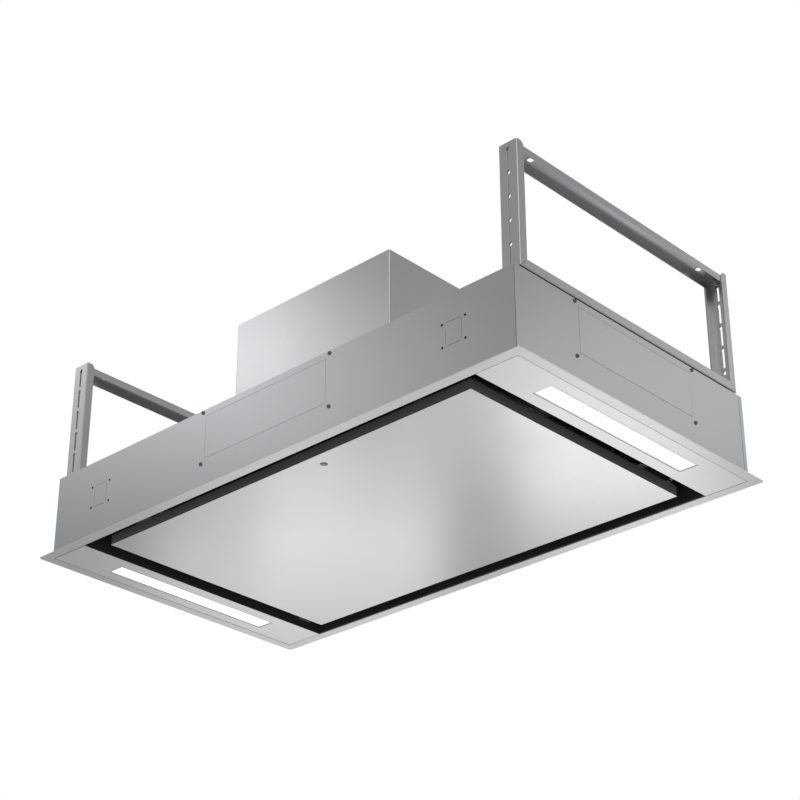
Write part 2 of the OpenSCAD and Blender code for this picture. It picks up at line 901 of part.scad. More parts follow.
// Hinge arms on the tray: a foot and an eye on each pin
module panel_hinge_arms() {
    web = eye_r * 2 / 3;
    color(galvanised)
        for (s = [-1, 1])
            hand(s)
                difference() {
                    union() {
                        block(arm_x - strap_t - 2 * eye_r, arm_x, hinge_y - 3 * web, hinge_y + web,
                              tray_top, tray_top + strap_t);
                        block(arm_x - strap_t, arm_x, hinge_y - web, hinge_y + web, tray_top, hinge_z);
                        rod_x(arm_x - strap_t, arm_x, hinge_y, hinge_z, eye_r);
                    }
                    rod_x(arm_x - strap_t - over, arm_x + over, hinge_y, hinge_z, pin_d / 2 + run_fit);
                }
}

// Hinge brackets on the recess's end walls, each with a boss for its pin
module panel_hinge_brackets() {
    x1 = recess_x - fit;
    low = hinge_z - boss_d;
    high = hinge_z + boss_d;
    color(galvanised)
        for (s = [-1, 1])
            hand(s)
                difference() {
                    union() {
                        block(x1 - strap_t, x1, hinge_y - boss_d, hinge_y + boss_d, low, high);
                        rod_x(panel_x + boss_d / 2, x1 - strap_t, hinge_y, hinge_z, boss_d / 2);
                    }
                    rod_x(panel_x, x1 + over, hinge_y, hinge_z, pin_d / 2 + run_fit);
                }
}

// Hinge pins with a head on the inner side
module panel_hinge_pins() {
    head = strap_t;
    x0 = arm_x - strap_t - head;
    color(steel)
        for (s = [-1, 1])
            hand(s) {
                rod_x(x0, recess_x - fit, hinge_y, hinge_z, pin_d / 2);
                rod_x(x0 - head, x0, hinge_y, hinge_z, pin_d / 2 + head / 2);
            }
}

// Housings of the sprung catches, on the recess's front wall
module catch_housings() {
    y0 = -recess_y + fit;
    color(dark_grey)
        for (s = [-1, 1])
            difference() {
                block(s * catch_x - catch_block / 2, s * catch_x + catch_block / 2,
                      y0, -catch_face_y, catch_z - catch_block / 2, catch_z + catch_block / 2);
                rod_y(y0 + over, -catch_face_y + over, s * catch_x, catch_z,
                      plunger_d / 2 + run_fit);
            }
}

// Catch plunger with a round nose that points at the panel's strike
module catch_plunger(s) {
    r = plunger_d / 2;
    y0 = -recess_y + fit + over + plunger_travel + fit;
    color(steel) {
        rod_y(y0, -catch_tip_y - r, s * catch_x, catch_z, r);
        translate([s * catch_x, -catch_tip_y - r, catch_z])
            sphere(r = r);
    }
}

module catch_plunger_right() {
    catch_plunger(1);
}

module catch_plunger_left() {
    catch_plunger(-1);
}

// Motor box: four walls with a foot flange, open above, and the spigot's hole
module motor_box() {
    z1 = box_top;
    color(galvanised)
        difference() {
            union() {
                block(-box_x - foot_w, box_x + foot_w, -box_y - foot_w, box_y + foot_w,
                      casing_h, casing_h + sheet);
                block(-box_x, box_x, -box_y, box_y, casing_h, z1);
            }
            block(-box_x + sheet, box_x - sheet, -box_y + sheet, box_y - sheet, casing_h - over, z1 + over);
            rod_y(box_y - sheet - over, box_y + over, spigot_x, spigot_z, bore_r);
            rod_x(-box_x - over, -box_x + sheet + over, motor_lead_y, motor_lead_z, lead_d / 2 + fit);
            at_foot_screws()
                rod_z(0, 0, casing_h - over, casing_h + sheet + over, screw_d / 2 + run_fit);
            at_flange_screws()
                rod_y(-sheet - over, over, 0, 0, screw_d / 2 + run_fit);
        }
}

// Lid inside the motor box's top edge
module motor_box_lid() {
    x1 = box_x - sheet - fit;
    y1 = box_y - sheet - fit;
    lid_h = lid_share * (box_top - scroll_top - scroll_t);
    color(galvanised)
        difference() {
            block(-x1, x1, -y1, y1, box_top - lid_h, box_top);
            block(-x1 + sheet, x1 - sheet, -y1 + sheet, y1 - sheet, box_top - lid_h - over,
                  box_top - sheet);
        }
}

// Radius of the scroll at an angle from the tongue to a full turn
function scroll_r(a) = scroll_r0 + scroll_grow * (a - tongue_angle) / (360 - tongue_angle);

// Outline of the scroll, moved outwards by g, with its outlet end at y
function scroll_outline(g, y) = let (
        a0 = tongue_angle + atan(tongue_share * g / scroll_r0),
        steps = 50,
        exit_y = y - scroll_y,
        curve = [for (i = [0 : steps])
            let (a = a0 + (360 - a0) * i / steps)
            [(scroll_r(a) + g) * cos(a), (scroll_r(a) + g) * sin(a)]]
    )
    concat(curve, [[scroll_r1 + g, exit_y], [scroll_r1 - spigot_d - g, exit_y]]);

module scroll_shape(g, y) {
    translate([scroll_x, scroll_y, 0])
        polygon(scroll_outline(g, y));
}

// Lower half of the scroll: base with the inlet bell, and the spiral wall
module scroll_housing() {
    exit_y = box_y - sheet - fit;
    z1 = scroll_z + scroll_t;
    bell_h = tongue_gap / 2;
    color(galvanised)
        union() {
            difference() {
                translate([0, 0, scroll_z])
                    linear_extrude(height = scroll_top - scroll_z)
                        scroll_shape(scroll_t, exit_y);
                translate([0, 0, z1])
                    linear_extrude(height = scroll_top - z1 + over)
                        scroll_shape(0, exit_y + over);
                rod_z(scroll_x, scroll_y, scroll_z - over, z1 + over, bell_r);
                for (a = foot_angles)
                    rod_z(foot_place(a)[0], foot_place(a)[1], scroll_z - over, z1 + over,
                          screw_d / 2 + run_fit);
            }
            translate([scroll_x, scroll_y, 0])
                rotate_extrude($fn = 96)
                    polygon([
                        [bell_r, z1 + bell_h], [bell_r, scroll_z], [bell_mouth_r - scroll_t, casing_h + fit],
                        [bell_mouth_r, casing_h + fit], [bell_r + 2 * scroll_t, scroll_z],
                        [bell_r + 2 * scroll_t, z1], [bell_r + scroll_t, z1 + bell_h]
                    ]);
        }
}

// Feet of the blower, on a circle round the inlet
foot_angles = [45, 135, 225, 315];
function foot_place(a) = [
    scroll_x + (scroll_r0 - foot_in) * cos(a),
    scroll_y + (scroll_r0 - foot_in) * sin(a)
];

module blower_feet() {
    foot_d = 2 * (tongue_gap - foot_in);
    color(rubber_black)
        for (a = foot_angles)
            translate([foot_place(a)[0], foot_place(a)[1], 0]) {
                rod_z(0, 0, casing_h, scroll_z, foot_d / 3);
                rod_z(0, 0, scroll_z, scroll_z + scroll_t + sheet, screw_d / 2);
            }
}

// Upper plate of the scroll, with the motor's opening
module scroll_cover() {
    exit_y = box_y - sheet - fit;
    color(galvanised)
        difference() {
            translate([0, 0, scroll_top])
                linear_extrude(height = scroll_t)
                    scroll_shape(scroll_t, exit_y);
            rod_z(scroll_x, scroll_y, scroll_top - over, scroll_top + scroll_t + over,
                  motor_d / 2 + 2 * scroll_t);
        }
}

// Plan of one blade, bent forward along a circle's arc
module blade_shape() {
    r0 = impeller_r - blade_w;
    reach = blade_w - blade_t;
    sweep = 70;
    steps = 5;
    inner = [for (i = [0 : steps])
        let (a = i * sweep / steps)
        [r0 + reach * sin(a) / sin(sweep), reach * (1 - cos(a)) / sin(sweep)]];
    outer = [for (i = [steps : -1 : 0])
        let (a = i * sweep / steps)
        [r0 + reach * sin(a) / sin(sweep), reach * (1 - cos(a)) / sin(sweep) + blade_t]];
    polygon(concat(inner, outer));
}

// Impeller's back plate, whose cup takes the motor
module impeller() {
    z1 = blade_z + blade_h;
    color(dark_grey)
        translate([scroll_x, scroll_y, 0])
            rotate_extrude($fn = 96)
                polygon([
                    [shaft_d / 2, cup_z - 2 * shaft_d], [hub_d / 2, cup_z - 2 * shaft_d],
                    [hub_d / 2, cup_z], [cup_r + 2 * blade_t, cup_z],
                    [cup_r + 2 * blade_t, z1], [impeller_r, z1], [impeller_r, z1 + 2 * blade_t],
                    [cup_r, z1 + 2 * blade_t], [cup_r, cup_z + 2 * blade_t],
                    [shaft_d / 2, cup_z + 2 * blade_t]
                ]);
}

// Impeller's front ring, round the inlet
module impeller_ring() {
    ring_r = impeller_r - blade_w - blade_t;
    color(dark_grey)
        difference() {
            rod_z(scroll_x, scroll_y, blade_z, blade_z + 2 * blade_t, impeller_r, $fn = 96);
            rod_z(scroll_x, scroll_y, blade_z - over, blade_z + 2 * blade_t + over, ring_r, $fn = 96);
        }
}

// Impeller's blades, each riveted between the ring and the back plate
module impeller_blades() {
    color(dark_grey)
        translate([scroll_x, scroll_y, blade_z + 2 * blade_t])
            linear_extrude(height = blade_h - 2 * blade_t)
                for (i = [0 : blade_count - 1])
                    rotate(i * 360 / blade_count)
                        blade_shape();
}

// Motor shaft, pressed into the impeller's hub and running in the motor
module motor_shaft() {
    color(steel)
        rod_z(scroll_x, scroll_y, cup_z - 2 * shaft_d, scroll_top + scroll_t + bracket_ring_t, shaft_d / 2);
}

// Motor: can with a flange that hangs in the bracket's ring
module blower_motor() {
    z1 = scroll_top + scroll_t + bracket_ring_t;
    flange_r = motor_d / 2 + 4 * scroll_t;
    cap_h = cap_share * (box_top - z1);
    color(dark_grey)
        difference() {
            union() {
                rod_z(scroll_x, scroll_y, motor_low, z1, motor_d / 2);
                rod_z(scroll_x, scroll_y, z1, z1 + cap_h, flange_r);
            }
            rod_z(scroll_x, scroll_y, motor_low - over, z1 + fit, shaft_d / 2 + run_fit);
        }
}

// Bracket that carries the motor: ring with three arms on the scroll's cover
module motor_bracket() {
    z0 = scroll_top + scroll_t;
    arm_w = 2 * shaft_d;
    color(galvanised)
        difference() {
            union() {
                rod_z(scroll_x, scroll_y, z0, z0 + bracket_ring_t, motor_d / 2 + 8 * scroll_t);
                for (a = [30, 150, 270])
                    translate([scroll_x, scroll_y, z0])
                        rotate([0, 0, a])
                            translate([0, -arm_w / 2, 0])
                                cube([impeller_r, arm_w, bracket_ring_t]);
            }
            rod_z(scroll_x, scroll_y, z0 - over, z0 + bracket_ring_t + over, motor_d / 2 + scroll_t);
        }
}

// Duct spigot: flange on the motor box, tube, stop ring and ears for the axle
module outlet_spigot() {
    y1 = box_y + spigot_l;
    stop_y = flap_y - flap_t / 2 - fit;
    color(galvanised)
        difference() {
            union() {
                block(spigot_x - flange_r, spigot_x + flange_r, box_y, box_y + sheet,
                      spigot_z - flange_r, spigot_z + flange_r);
                rod_y(box_y, y1, spigot_x, spigot_z, spigot_r, $fn = 96);
            }
            at_flange_screws()
                rod_y(-over, sheet + over, 0, 0, screw_d / 2 + run_fit);
            rod_y(stop_y, y1 + over, spigot_x, spigot_z, bore_r, $fn = 96);
            rod_y(box_y - over, stop_y + over, spigot_x, spigot_z, bore_r - 2 * spigot_t, $fn = 96);
            rod_z(spigot_x, flap_y, spigot_z - spigot_r - over, spigot_z + spigot_r + over,
                  axle_d / 2 + run_fit);
        }
}

// Axle of the two flaps
module flap_axle() {
    color(steel)
        rod_z(spigot_x, flap_y, spigot_z - spigot_r, spigot_z + spigot_r, axle_d / 2);
}

// Half-disc flap on one side of the axle, with every other barrel
module flap(s) {
    r = bore_r - flap_gap;
    tall = r - barrel_d;
    barrels = 4;
    step = 2 * tall / barrels;
    color(dark_grey)
        difference() {
            union() {
                intersection() {
                    rod_y(flap_y - flap_t / 2, flap_y + flap_t / 2, spigot_x, spigot_z, r);
                    translate([spigot_x + (s > 0 ? barrel_d / 2 - flap_t / 2 : -r - over),
                               flap_y - flap_t, spigot_z - r])
                        cube([r + over - barrel_d / 2 + flap_t / 2, 2 * flap_t, 2 * r]);
                }
                for (i = [0 : barrels - 1])
                    if (i % 2 == (s > 0 ? 0 : 1))
                        rod_z(spigot_x, flap_y, spigot_z - tall + i * step + fit,
                              spigot_z - tall + (i + 1) * step - fit, barrel_d / 2);
            }
            rod_z(spigot_x, flap_y, spigot_z - r - over, spigot_z + r + over, axle_d / 2 + run_fit);
            for (i = [-1 : barrels])
                if (i % 2 != (s > 0 ? 0 : 1))
                    rod_z(spigot_x, flap_y, spigot_z - tall + i * step - fit,
                          spigot_z - tall + (i + 1) * step + fit, barrel_d / 2 + fit);
        }
}

module flap_right() {
    flap(1);
}

module flap_left() {
    flap(-1);
}

// Leads: where they pass through sheets
lead_y = window_l / 2 - 2 * lead_d;
motor_lead_y = control_y0 + 4 * lead_d;
motor_lead_z = casing_h + 3 * lead_d;
lead_holes = [
    [control_x0 + 4 * lead_d, control_y1 - 3 * lead_d],
    [control_x1 - 4 * lead_d, control_y1 - 3 * lead_d]
];

// Control box: tray on the casing, open above
module control_box() {
    z1 = casing_h + control_h;
    color(galvanised)
        difference() {
            block(control_x0, control_x1, control_y0, control_y1, casing_h, z1);
            block(control_x0 + sheet, control_x1 - sheet, control_y0 + sheet, control_y1 - sheet,
                  casing_h + sheet, z1 + over);
            rod_x(control_x1 - sheet - over, control_x1 + over, motor_lead_y, motor_lead_z,
                  lead_d / 2 + fit);
            rod_x(control_x0 - over, control_x0 + sheet + over, gland_y, gland_z, cable_d);
            for (p = lead_holes)
                rod_z(p[0], p[1], casing_h - over, casing_h + sheet + over, lead_d / 2 + fit);
        }
}

// Cover of the control box, with edges that lap outside
module control_box_cover() {
    z1 = casing_h + control_h;
    color(galvanised)
        difference() {
            block(control_x0 - sheet - fit, control_x1 + sheet + fit, control_y0 - sheet - fit,
                  control_y1 + sheet + fit, z1 - tab_h, z1 + sheet);
            block(control_x0 - fit, control_x1 + fit, control_y0 - fit, control_y1 + fit,
                  z1 - tab_h - over, z1);
        }
}

// Circuit board on posts, with a transformer, a relay and a heat sink
module power_board() {
    z0 = casing_h + sheet;
    post_h = 6 * sheet;
    x0 = control_x0 + control_l / 3;
    x1 = control_x1 - 6 * lead_d;
    y0 = control_y0 + 7 * lead_d;
    y1 = control_y1 - 6 * lead_d;
    color(board_green) {
        block(x0, x1, y0 - 2 * lead_d, y1, z0 + post_h, z0 + post_h + board_t);
        for (x = [x0 + lead_d, x1 - lead_d])
            for (y = [y0 - lead_d, y1 - lead_d])
                rod_z(x, y, z0, z0 + post_h, lead_d / 3);
        block(x0 + lead_d, (x0 + x1) / 2, y0, y1 - lead_d, z0 + post_h, z0 + control_h / 2);
        block((x0 + x1) / 2 + lead_d, x1 - lead_d, y0, y0 + 2 * lead_d, z0 + post_h, z0 + control_h / 3);
    }
}

// Terminal block for the supply cable, next to the gland
module terminal_block() {
    z0 = casing_h + sheet;
    poles = 3;
    pole_w = 2 * lead_d;
    pole_h = 3 * lead_d;
    x0 = control_x0 + 3 * cable_d;
    y0 = gland_y - poles * pole_w / 2;
    color(plastic_white)
        difference() {
            block(x0, x0 + pole_h - sheet, y0, y0 + poles * pole_w, z0, z0 + pole_h);
            for (i = [0 : poles - 1])
                rod_z(x0 + pole_h / 2, y0 + (i + 1 / 2) * pole_w, z0 + pole_h / 2, z0 + pole_h + over,
                      lead_d / 3);
        }
}

// Motor capacitor, lying along the control box's front wall
module capacitor() {
    r = 2 * lead_d;
    z = casing_h + sheet + r;
    y = control_y0 + sheet + r + fit;
    color(plastic_white) {
        rod_x(control_x0 + r, control_x1 - 3 * r, y, z, r);
        rod_x(control_x1 - 3 * r, control_x1 - 3 * r + lead_d, y, z, r / 2);
    }
}

// Cable gland in the control box's left wall: hexagon, nut and bore
module cable_gland() {
    nut_h = cable_d / 2;
    x0 = control_x0;
    color(rubber_black)
        difference() {
            union() {
                rod_x(x0 - 2 * nut_h, x0, gland_y, gland_z, gland_r, $fn = 6);
                rod_x(x0 - 3 * nut_h, x0, gland_y, gland_z, gland_nose_r);
                rod_x(x0, x0 + sheet + nut_h, gland_y, gland_z, cable_d - run_fit);
            }
            rod_x(x0 - 3 * nut_h - over, x0 + sheet + nut_h + over, gland_y, gland_z,
                  cable_d / 2 + run_fit);
        }
}

// Unit vector along v
function unit(v) = v / norm(v);

// Direction of a route at its point i
function heading(p, i) = unit(p[min(i + 1, len(p) - 1)] - p[max(i - 1, 0)]);

// Tube with the radius r along the route p, with eight sides
module tube(p, r) {
    sides = 8;
    guide = unit([1, 2, 3]);
    rings = [for (i = [0 : len(p) - 1])
        let (
            d = heading(p, i),
            u = unit(cross(d, guide)),
            v = cross(d, u)
        )
        for (k = [0 : sides - 1]) p[i] + r * (u * cos(k * 360 / sides) + v * sin(k * 360 / sides))];
    last = (len(p) - 1) * sides;
    walls = [for (i = [0 : len(p) - 2])
        for (k = [0 : sides - 1])
            for (tri = [
                [i * sides + k, i * sides + (k + 1) % sides, (i + 1) * sides + k],
                [i * sides + (k + 1) % sides, (i + 1) * sides + (k + 1) % sides, (i + 1) * sides + k]
            ]) tri];
    ends = [
        [for (k = [sides - 1 : -1 : 0]) k],
        [for (k = [0 : sides - 1]) last + k]
    ];
    polyhedron(points = rings, faces = concat(walls, ends));
}

// Corner points of a route, with each inner corner cut by the bend b; an arc's middle lies bulge
// of the bend away from the corner on each side
bulge = 0.29;
function rounded(p, b) = concat(
    [p[0]],
    [for (i = [1 : len(p) - 2])
        for (q = [
            p[i] + b * unit(p[i - 1] - p[i]),
            p[i] + b * bulge * (unit(p[i - 1] - p[i]) + unit(p[i + 1] - p[i])),
            p[i] + b * unit(p[i + 1] - p[i])
        ]) q],
    [p[len(p) - 1]]
);

// Leads from the control box to the motor and to the two lights
module wiring() {
    bend = 2 * lead_d;
    under_z = casing_h - sheet - tab_h;
    box_z = casing_h + 2 * lead_d;
    light_z = fit / 2 + sheet + light_h - housing_wall - lead_d;
    back_y = in_y - tab_h;
    corner_x = -box_x + sheet + 2 * lead_d;
    top_z = scroll_top + scroll_t + bracket_ring_t + lead_d;
    color(rubber_black) {
        tube(rounded([
            [control_x1 - 2 * lead_d, motor_lead_y, motor_lead_z],
            [corner_x, motor_lead_y, motor_lead_z],
            [corner_x, box_y - 3 * lead_d, motor_lead_z],
            [corner_x, box_y - 3 * lead_d, top_z],
            [corner_x, scroll_y, top_z],
            [scroll_x - motor_d / 2 - 4 * scroll_t - fit, scroll_y, top_z]
        ], bend), lead_d / 2);
        tube(rounded([
            [lead_holes[0][0], lead_holes[0][1], box_z],
            [lead_holes[0][0], lead_holes[0][1], under_z],
            [-light_cx, lead_y, under_z],
            [-light_cx, lead_y, light_z]
        ], bend), lead_d / 2);
        tube(rounded([
            [lead_holes[1][0], lead_holes[1][1], box_z],
            [lead_holes[1][0], lead_holes[1][1], under_z],
            [lead_holes[1][0], back_y, under_z],
            [light_cx, back_y, under_z],
            [light_cx, lead_y, under_z],
            [light_cx, lead_y, light_z]
        ], bend), lead_d / 2);
    }
}

// Keyholes of a post's web, cut along Y at the right bracket
module keyholes(y0, y1) {
    for (i = [0 : key_count - 1]) {
        z = rail_z + key_z + i * key_pitch;
        block(bracket_cx - key_w / 2, bracket_cx + key_w / 2, y0, y1, z, z + key_l - key_d / 2);
        rod_y(y0, y1, bracket_cx, z + key_l - key_d / 2, key_d / 2);
    }
}

// Bent corner of a bracket, at the front for a negative s: the mitre between two channels
module mitre(x0, x1, y, z, turn, s) {
    gap = bracket_t / 4;
    translate([0, s * y, z])
        rotate([s > 0 ? 180 - turn : turn, 0, 0])
            block(x0 - over, x1 + over, -channel_d, channel_d * 2, -gap / 2, gap / 2);
}

// Lower bracket of the right end: a rail and two posts, each a channel, welded at the mitres
module lower_bracket() {
    x0 = wall_x - bracket_w;
    inner_y = post_y - bracket_t;
    top_cut = channel_d / 2;
    color(bracket_grey)
        difference() {
            block(x0, wall_x, -post_y, post_y, rail_z, post_top);
            block(x0 + bracket_t, wall_x - bracket_t, -inner_y, inner_y, rail_z + bracket_t,
                  post_top + over);
            block(x0 - over, wall_x + over, -post_y + channel_d, post_y - channel_d,
                  rail_z + channel_d, post_top + over);
            for (s = [-1, 1]) {
                translate([0, s * (post_y - channel_d), post_top])
                    rotate([45, 0, 0])
                        block(x0 - over, wall_x + over, -top_cut / 2, top_cut / 2,
                              -top_cut / 2, top_cut / 2);
                mitre(x0, wall_x, post_y, rail_z, 45, s);
                hand_y(s)
                    keyholes(inner_y - over, post_y + over);
                for (b = rail_bolts)
                    rod_z(bracket_cx, s * b, rail_z - over, rail_z + bracket_t + over, rail_hole_d / 2);
            }
        }
}

// Its children, mirrored to the front for a negative s
module hand_y(s) {
    if (s > 0)
        children();
    else
        mirror([0, 1, 0])
            children();
}

module lower_bracket_right() {
    lower_bracket();
}

module lower_bracket_left() {
    mirror([1, 0, 0])
        lower_bracket();
}

// Upper bracket of the right end: a bar and two legs that run inside the posts, welded at the mitres
module upper_bracket() {
    x0 = bracket_cx - leg_w / 2;
    x1 = bracket_cx + leg_w / 2;
    z0 = rail_z + bracket_t + slide_gap;
    inner_y = leg_y - bracket_t;
    depth = channel_d - bracket_t - slide_gap;
    slot_top = bar_top - bracket_t - slide_gap;
    color(bracket_grey)
        difference() {
            block(x0, x1, -leg_y, leg_y, z0, bar_top);
            block(x0 + bracket_t, x1 - bracket_t, -inner_y, inner_y, z0 - over, bar_top - bracket_t);
            block(x0 - over, x1 + over, -leg_y + depth, leg_y - depth, z0 - over, bar_top - depth);
            for (i = [0 : key_count - 1])
                rod_y(-leg_y - over, -inner_y + over, bracket_cx,
                      rail_z + key_z + i * key_pitch + key_l - key_d / 2, clamp_d / 2 + slide_gap);
            block(bracket_cx - clamp_d / 2 - slide_gap, bracket_cx + clamp_d / 2 + slide_gap,
                  inner_y - over, leg_y + over, clamp_z - lift - clamp_d, slot_top);
            for (s = [-1, 1]) {
                mitre(x0, x1, leg_y, bar_top, -45, s);
                rod_z(bracket_cx, s * bolt_pitch / 2, bar_top - bracket_t - over, bar_top + over,
                      bolt_hole_d / 2);
            }
        }
}

module upper_bracket_right() {
    upper_bracket();
}

module upper_bracket_left() {
    mirror([1, 0, 0])
        upper_bracket();
}

// Places of the rail bolts of both brackets
module at_rail_bolts() {
    for (sx = [-1, 1])
        for (sy = [-1, 1])
            for (b = rail_bolts)
                translate([sx * bracket_cx, sy * b, 0])
                    children();
}

// Spacers between the brackets and the casing
module bracket_spacers() {
    color(rubber_black)
        at_rail_bolts()
            difference() {
                rod_z(0, 0, casing_h, rail_z, spacer_d / 2);
                rod_z(0, 0, casing_h - over, rail_z + over, rail_hole_d / 2);
            }
}

// Hexagon bolts of the brackets, each with its nut under the top plate
module bracket_bolts() {
    head_h = rail_bolt_d * 2 / 3;
    nut_h = rail_bolt_d * 3 / 4;
    plate_low = casing_h - sheet;
    color(galvanised)
        at_rail_bolts() {
            rod_z(0, 0, rail_z + bracket_t, rail_z + bracket_t + head_h, rail_bolt_d, $fn = 6);
            rod_z(0, 0, plate_low - 1.5 * nut_h, rail_z + bracket_t, rail_bolt_d / 2);
            difference() {
                rod_z(0, 0, plate_low - nut_h, plate_low, rail_bolt_d, $fn = 6);
                rod_z(0, 0, plate_low - nut_h - over, plate_low + over, rail_bolt_d / 2 + run_fit);
            }
        }
}

// Clamp screws through the rear posts' top keyholes
module clamp_screws() {
    head_h = clamp_d / 2;
    color(galvanised)
        for (s = [-1, 1]) {
            rod_y(post_y, post_y + head_h, s * bracket_cx, clamp_z, clamp_d);
            rod_y(leg_y - 2 * clamp_d, post_y, s * bracket_cx, clamp_z, clamp_d / 2);
        }
}

// Nuts of the clamp screws, inside the upper brackets' rear legs
module clamp_nuts() {
    nut_y = leg_y - bracket_t - slide_gap;
    color(galvanised)
        for (s = [-1, 1])
            difference() {
                rod_y(nut_y - clamp_d, nut_y, s * bracket_cx, clamp_z, clamp_d, $fn = 6);
                rod_y(nut_y - clamp_d - over, nut_y + over, s * bracket_cx, clamp_z,
                      clamp_d / 2 + run_fit);
            }
}

trim_frame();
front_wall();
right_wall();
rear_wall();
left_wall();
top_plate();
outlet_covers();
sheet_screws();
intake_frame();
light_plate_right();
light_plate_left();
light_window_right();
light_window_left();
light_housings();
light_boards();
filter_frame_right();
filter_frame_left();
filter_mesh_right();
filter_mesh_left();
filter_latch_right();
filter_latch_left();
perimeter_panel();
panel_tray();
receiver_window();
panel_hinge_arms();
panel_hinge_brackets();
panel_hinge_pins();
catch_housings();
catch_plunger_right();
catch_plunger_left();
motor_box();
motor_box_lid();
scroll_housing();
scroll_cover();
impeller();
impeller_ring();
impeller_blades();
motor_shaft();
blower_motor();
motor_bracket();
blower_feet();
outlet_spigot();
flap_axle();
flap_right();
flap_left();
control_box();
control_box_cover();
power_board();
terminal_block();
capacitor();
cable_gland();
wiring();
lower_bracket_right();
lower_bracket_left();
upper_bracket_right();
upper_bracket_left();
bracket_spacers();
bracket_bolts();
clamp_screws();
clamp_nuts();
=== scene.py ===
"""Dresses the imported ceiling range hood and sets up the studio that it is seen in."""

import logging
import math
from collections.abc import Callable, Iterable, Sequence
from dataclasses import dataclass, field
from enum import Enum
from functools import cache

import bmesh
import bpy
from mathutils import Matrix, Vector


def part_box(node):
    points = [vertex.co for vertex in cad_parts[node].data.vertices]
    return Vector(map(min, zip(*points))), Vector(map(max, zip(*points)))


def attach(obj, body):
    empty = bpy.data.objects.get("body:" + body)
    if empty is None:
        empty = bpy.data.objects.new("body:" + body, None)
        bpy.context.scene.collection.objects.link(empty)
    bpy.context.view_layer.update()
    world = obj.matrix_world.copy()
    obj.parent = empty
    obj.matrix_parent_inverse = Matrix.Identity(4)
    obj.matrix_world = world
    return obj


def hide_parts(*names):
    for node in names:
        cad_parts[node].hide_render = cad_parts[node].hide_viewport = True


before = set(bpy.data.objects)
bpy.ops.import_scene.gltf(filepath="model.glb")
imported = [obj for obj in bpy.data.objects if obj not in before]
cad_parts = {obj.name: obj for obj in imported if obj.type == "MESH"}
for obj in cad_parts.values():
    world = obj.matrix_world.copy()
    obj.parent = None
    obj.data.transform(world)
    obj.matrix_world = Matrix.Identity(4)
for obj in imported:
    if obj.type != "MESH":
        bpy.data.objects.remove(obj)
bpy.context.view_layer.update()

LOG = logging.getLogger("range_hood")
MM = 0.001
NEAR = 0.02 * MM
SHARP = math.radians(32)
SIGNS = (-1, 1)
HALF_TURN = Matrix.Rotation(math.pi, 4, "Z")
QUARTER_TURN = Matrix.Rotation(math.pi / 2, 4, "Z")

Material = bpy.types.Material
Node = bpy.types.Node
NodeTree = bpy.types.NodeTree
Piece = bpy.types.Object
Socket = bpy.types.NodeSocket
Pair = tuple[float, float]
Triple = tuple[float, float, float]
Selector = Callable[[Vector, Vector], bool]


class Body(Enum):
    """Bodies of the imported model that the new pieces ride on."""

    BRACKETS = "ceiling_brackets"
    HOOD = "hood"
    PANEL = "suction_panel"
    LATCH_RIGHT = "filter_latch_right"
    LATCH_LEFT = "filter_latch_left"


class Slot(Enum):
    """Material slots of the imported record."""

    SATIN = "satin_steel"
    GALVANISED = "galvanised_sheet"
    BRACKET = "bracket_steel"
    BLACK = "black_sheet"
    ZINC = "zinc_fastener"
    DIFFUSER = "diffuser"
    WHITE = "white_board"
    RIM = "filter_rim"
    MESH = "filter_mesh"
    PLASTIC = "dark_plastic"
    MOTOR = "motor_paint"
    RUBBER = "rubber"
    BOARD = "circuit_board"


class Axis(Enum):
    """Direction that a sheet was rolled in."""

    X = 0
    Y = 1
    Z = 2


class Side(Enum):
    """The two ends of the hood, as the sign of X."""

    RIGHT = 1
    LEFT = -1

    @property
    def word(self) -> str:
        """The word that its nodes' names end in."""
        return self.name.lower()

    @property
    def turn(self) -> Matrix:
        """What brings a piece from the right end to this one."""
        return Matrix.Identity(4) if self is Side.RIGHT else HALF_TURN


def in_scene(name: str, data: bpy.types.ID) -> Piece:
    """Puts an object with the given data into the scene.

    Args:
        name: The object's name.
        data: Its mesh, light or camera.

    Returns:
        The object.
    """
    made = bpy.data.objects.new(name, data)
    bpy.context.scene.collection.objects.link(made)
    return made


# Shader trees


def feed(tree: NodeTree, node: Node, **values: object) -> Node:
    """Sets a node's properties and inputs.

    Args:
        tree: The tree that holds the node.
        node: The node.
        values: Properties by name, and inputs by name with spaces as underscores. A socket is
            linked, and anything else is set.

    Returns:
        The node itself.
    """
    for label, value in values.items():
        socket = next((s for s in node.inputs if s.name.replace(" ", "_") == label), None)
        if hasattr(node, label):
            setattr(node, label, value)
        elif socket is None:
            raise KeyError(f"{node.name} has no {label}")
        elif isinstance(value, Socket):
            tree.links.new(value, socket)
        else:
            socket.default_value = value
    return node


class ShaderTree:
    """A shader node tree with short ways to add nodes to it."""

    def __init__(self, tree: NodeTree) -> None:
        """Takes the tree over."""
        self.tree = tree

    def add(self, kind: str, **values: object) -> Node:
        """Adds a node, with its properties and inputs as feed takes them."""
        return feed(self.tree, self.tree.nodes.new(kind), **values)

    def maths(self, operation: str, a: Socket | float, b: Socket | float) -> Socket:
        """Combines two values.

        Args:
            operation: The math node's operation.
            a: First value, a socket or a number.
            b: Second value.

        Returns:
            The result's socket.
        """
        node = self.add("ShaderNodeMath", operation=operation)
        for socket, value in zip(node.inputs, (a, b)):
            if isinstance(value, Socket):
                self.tree.links.new(value, socket)
            else:
                socket.default_value = value
        return node.outputs[0]


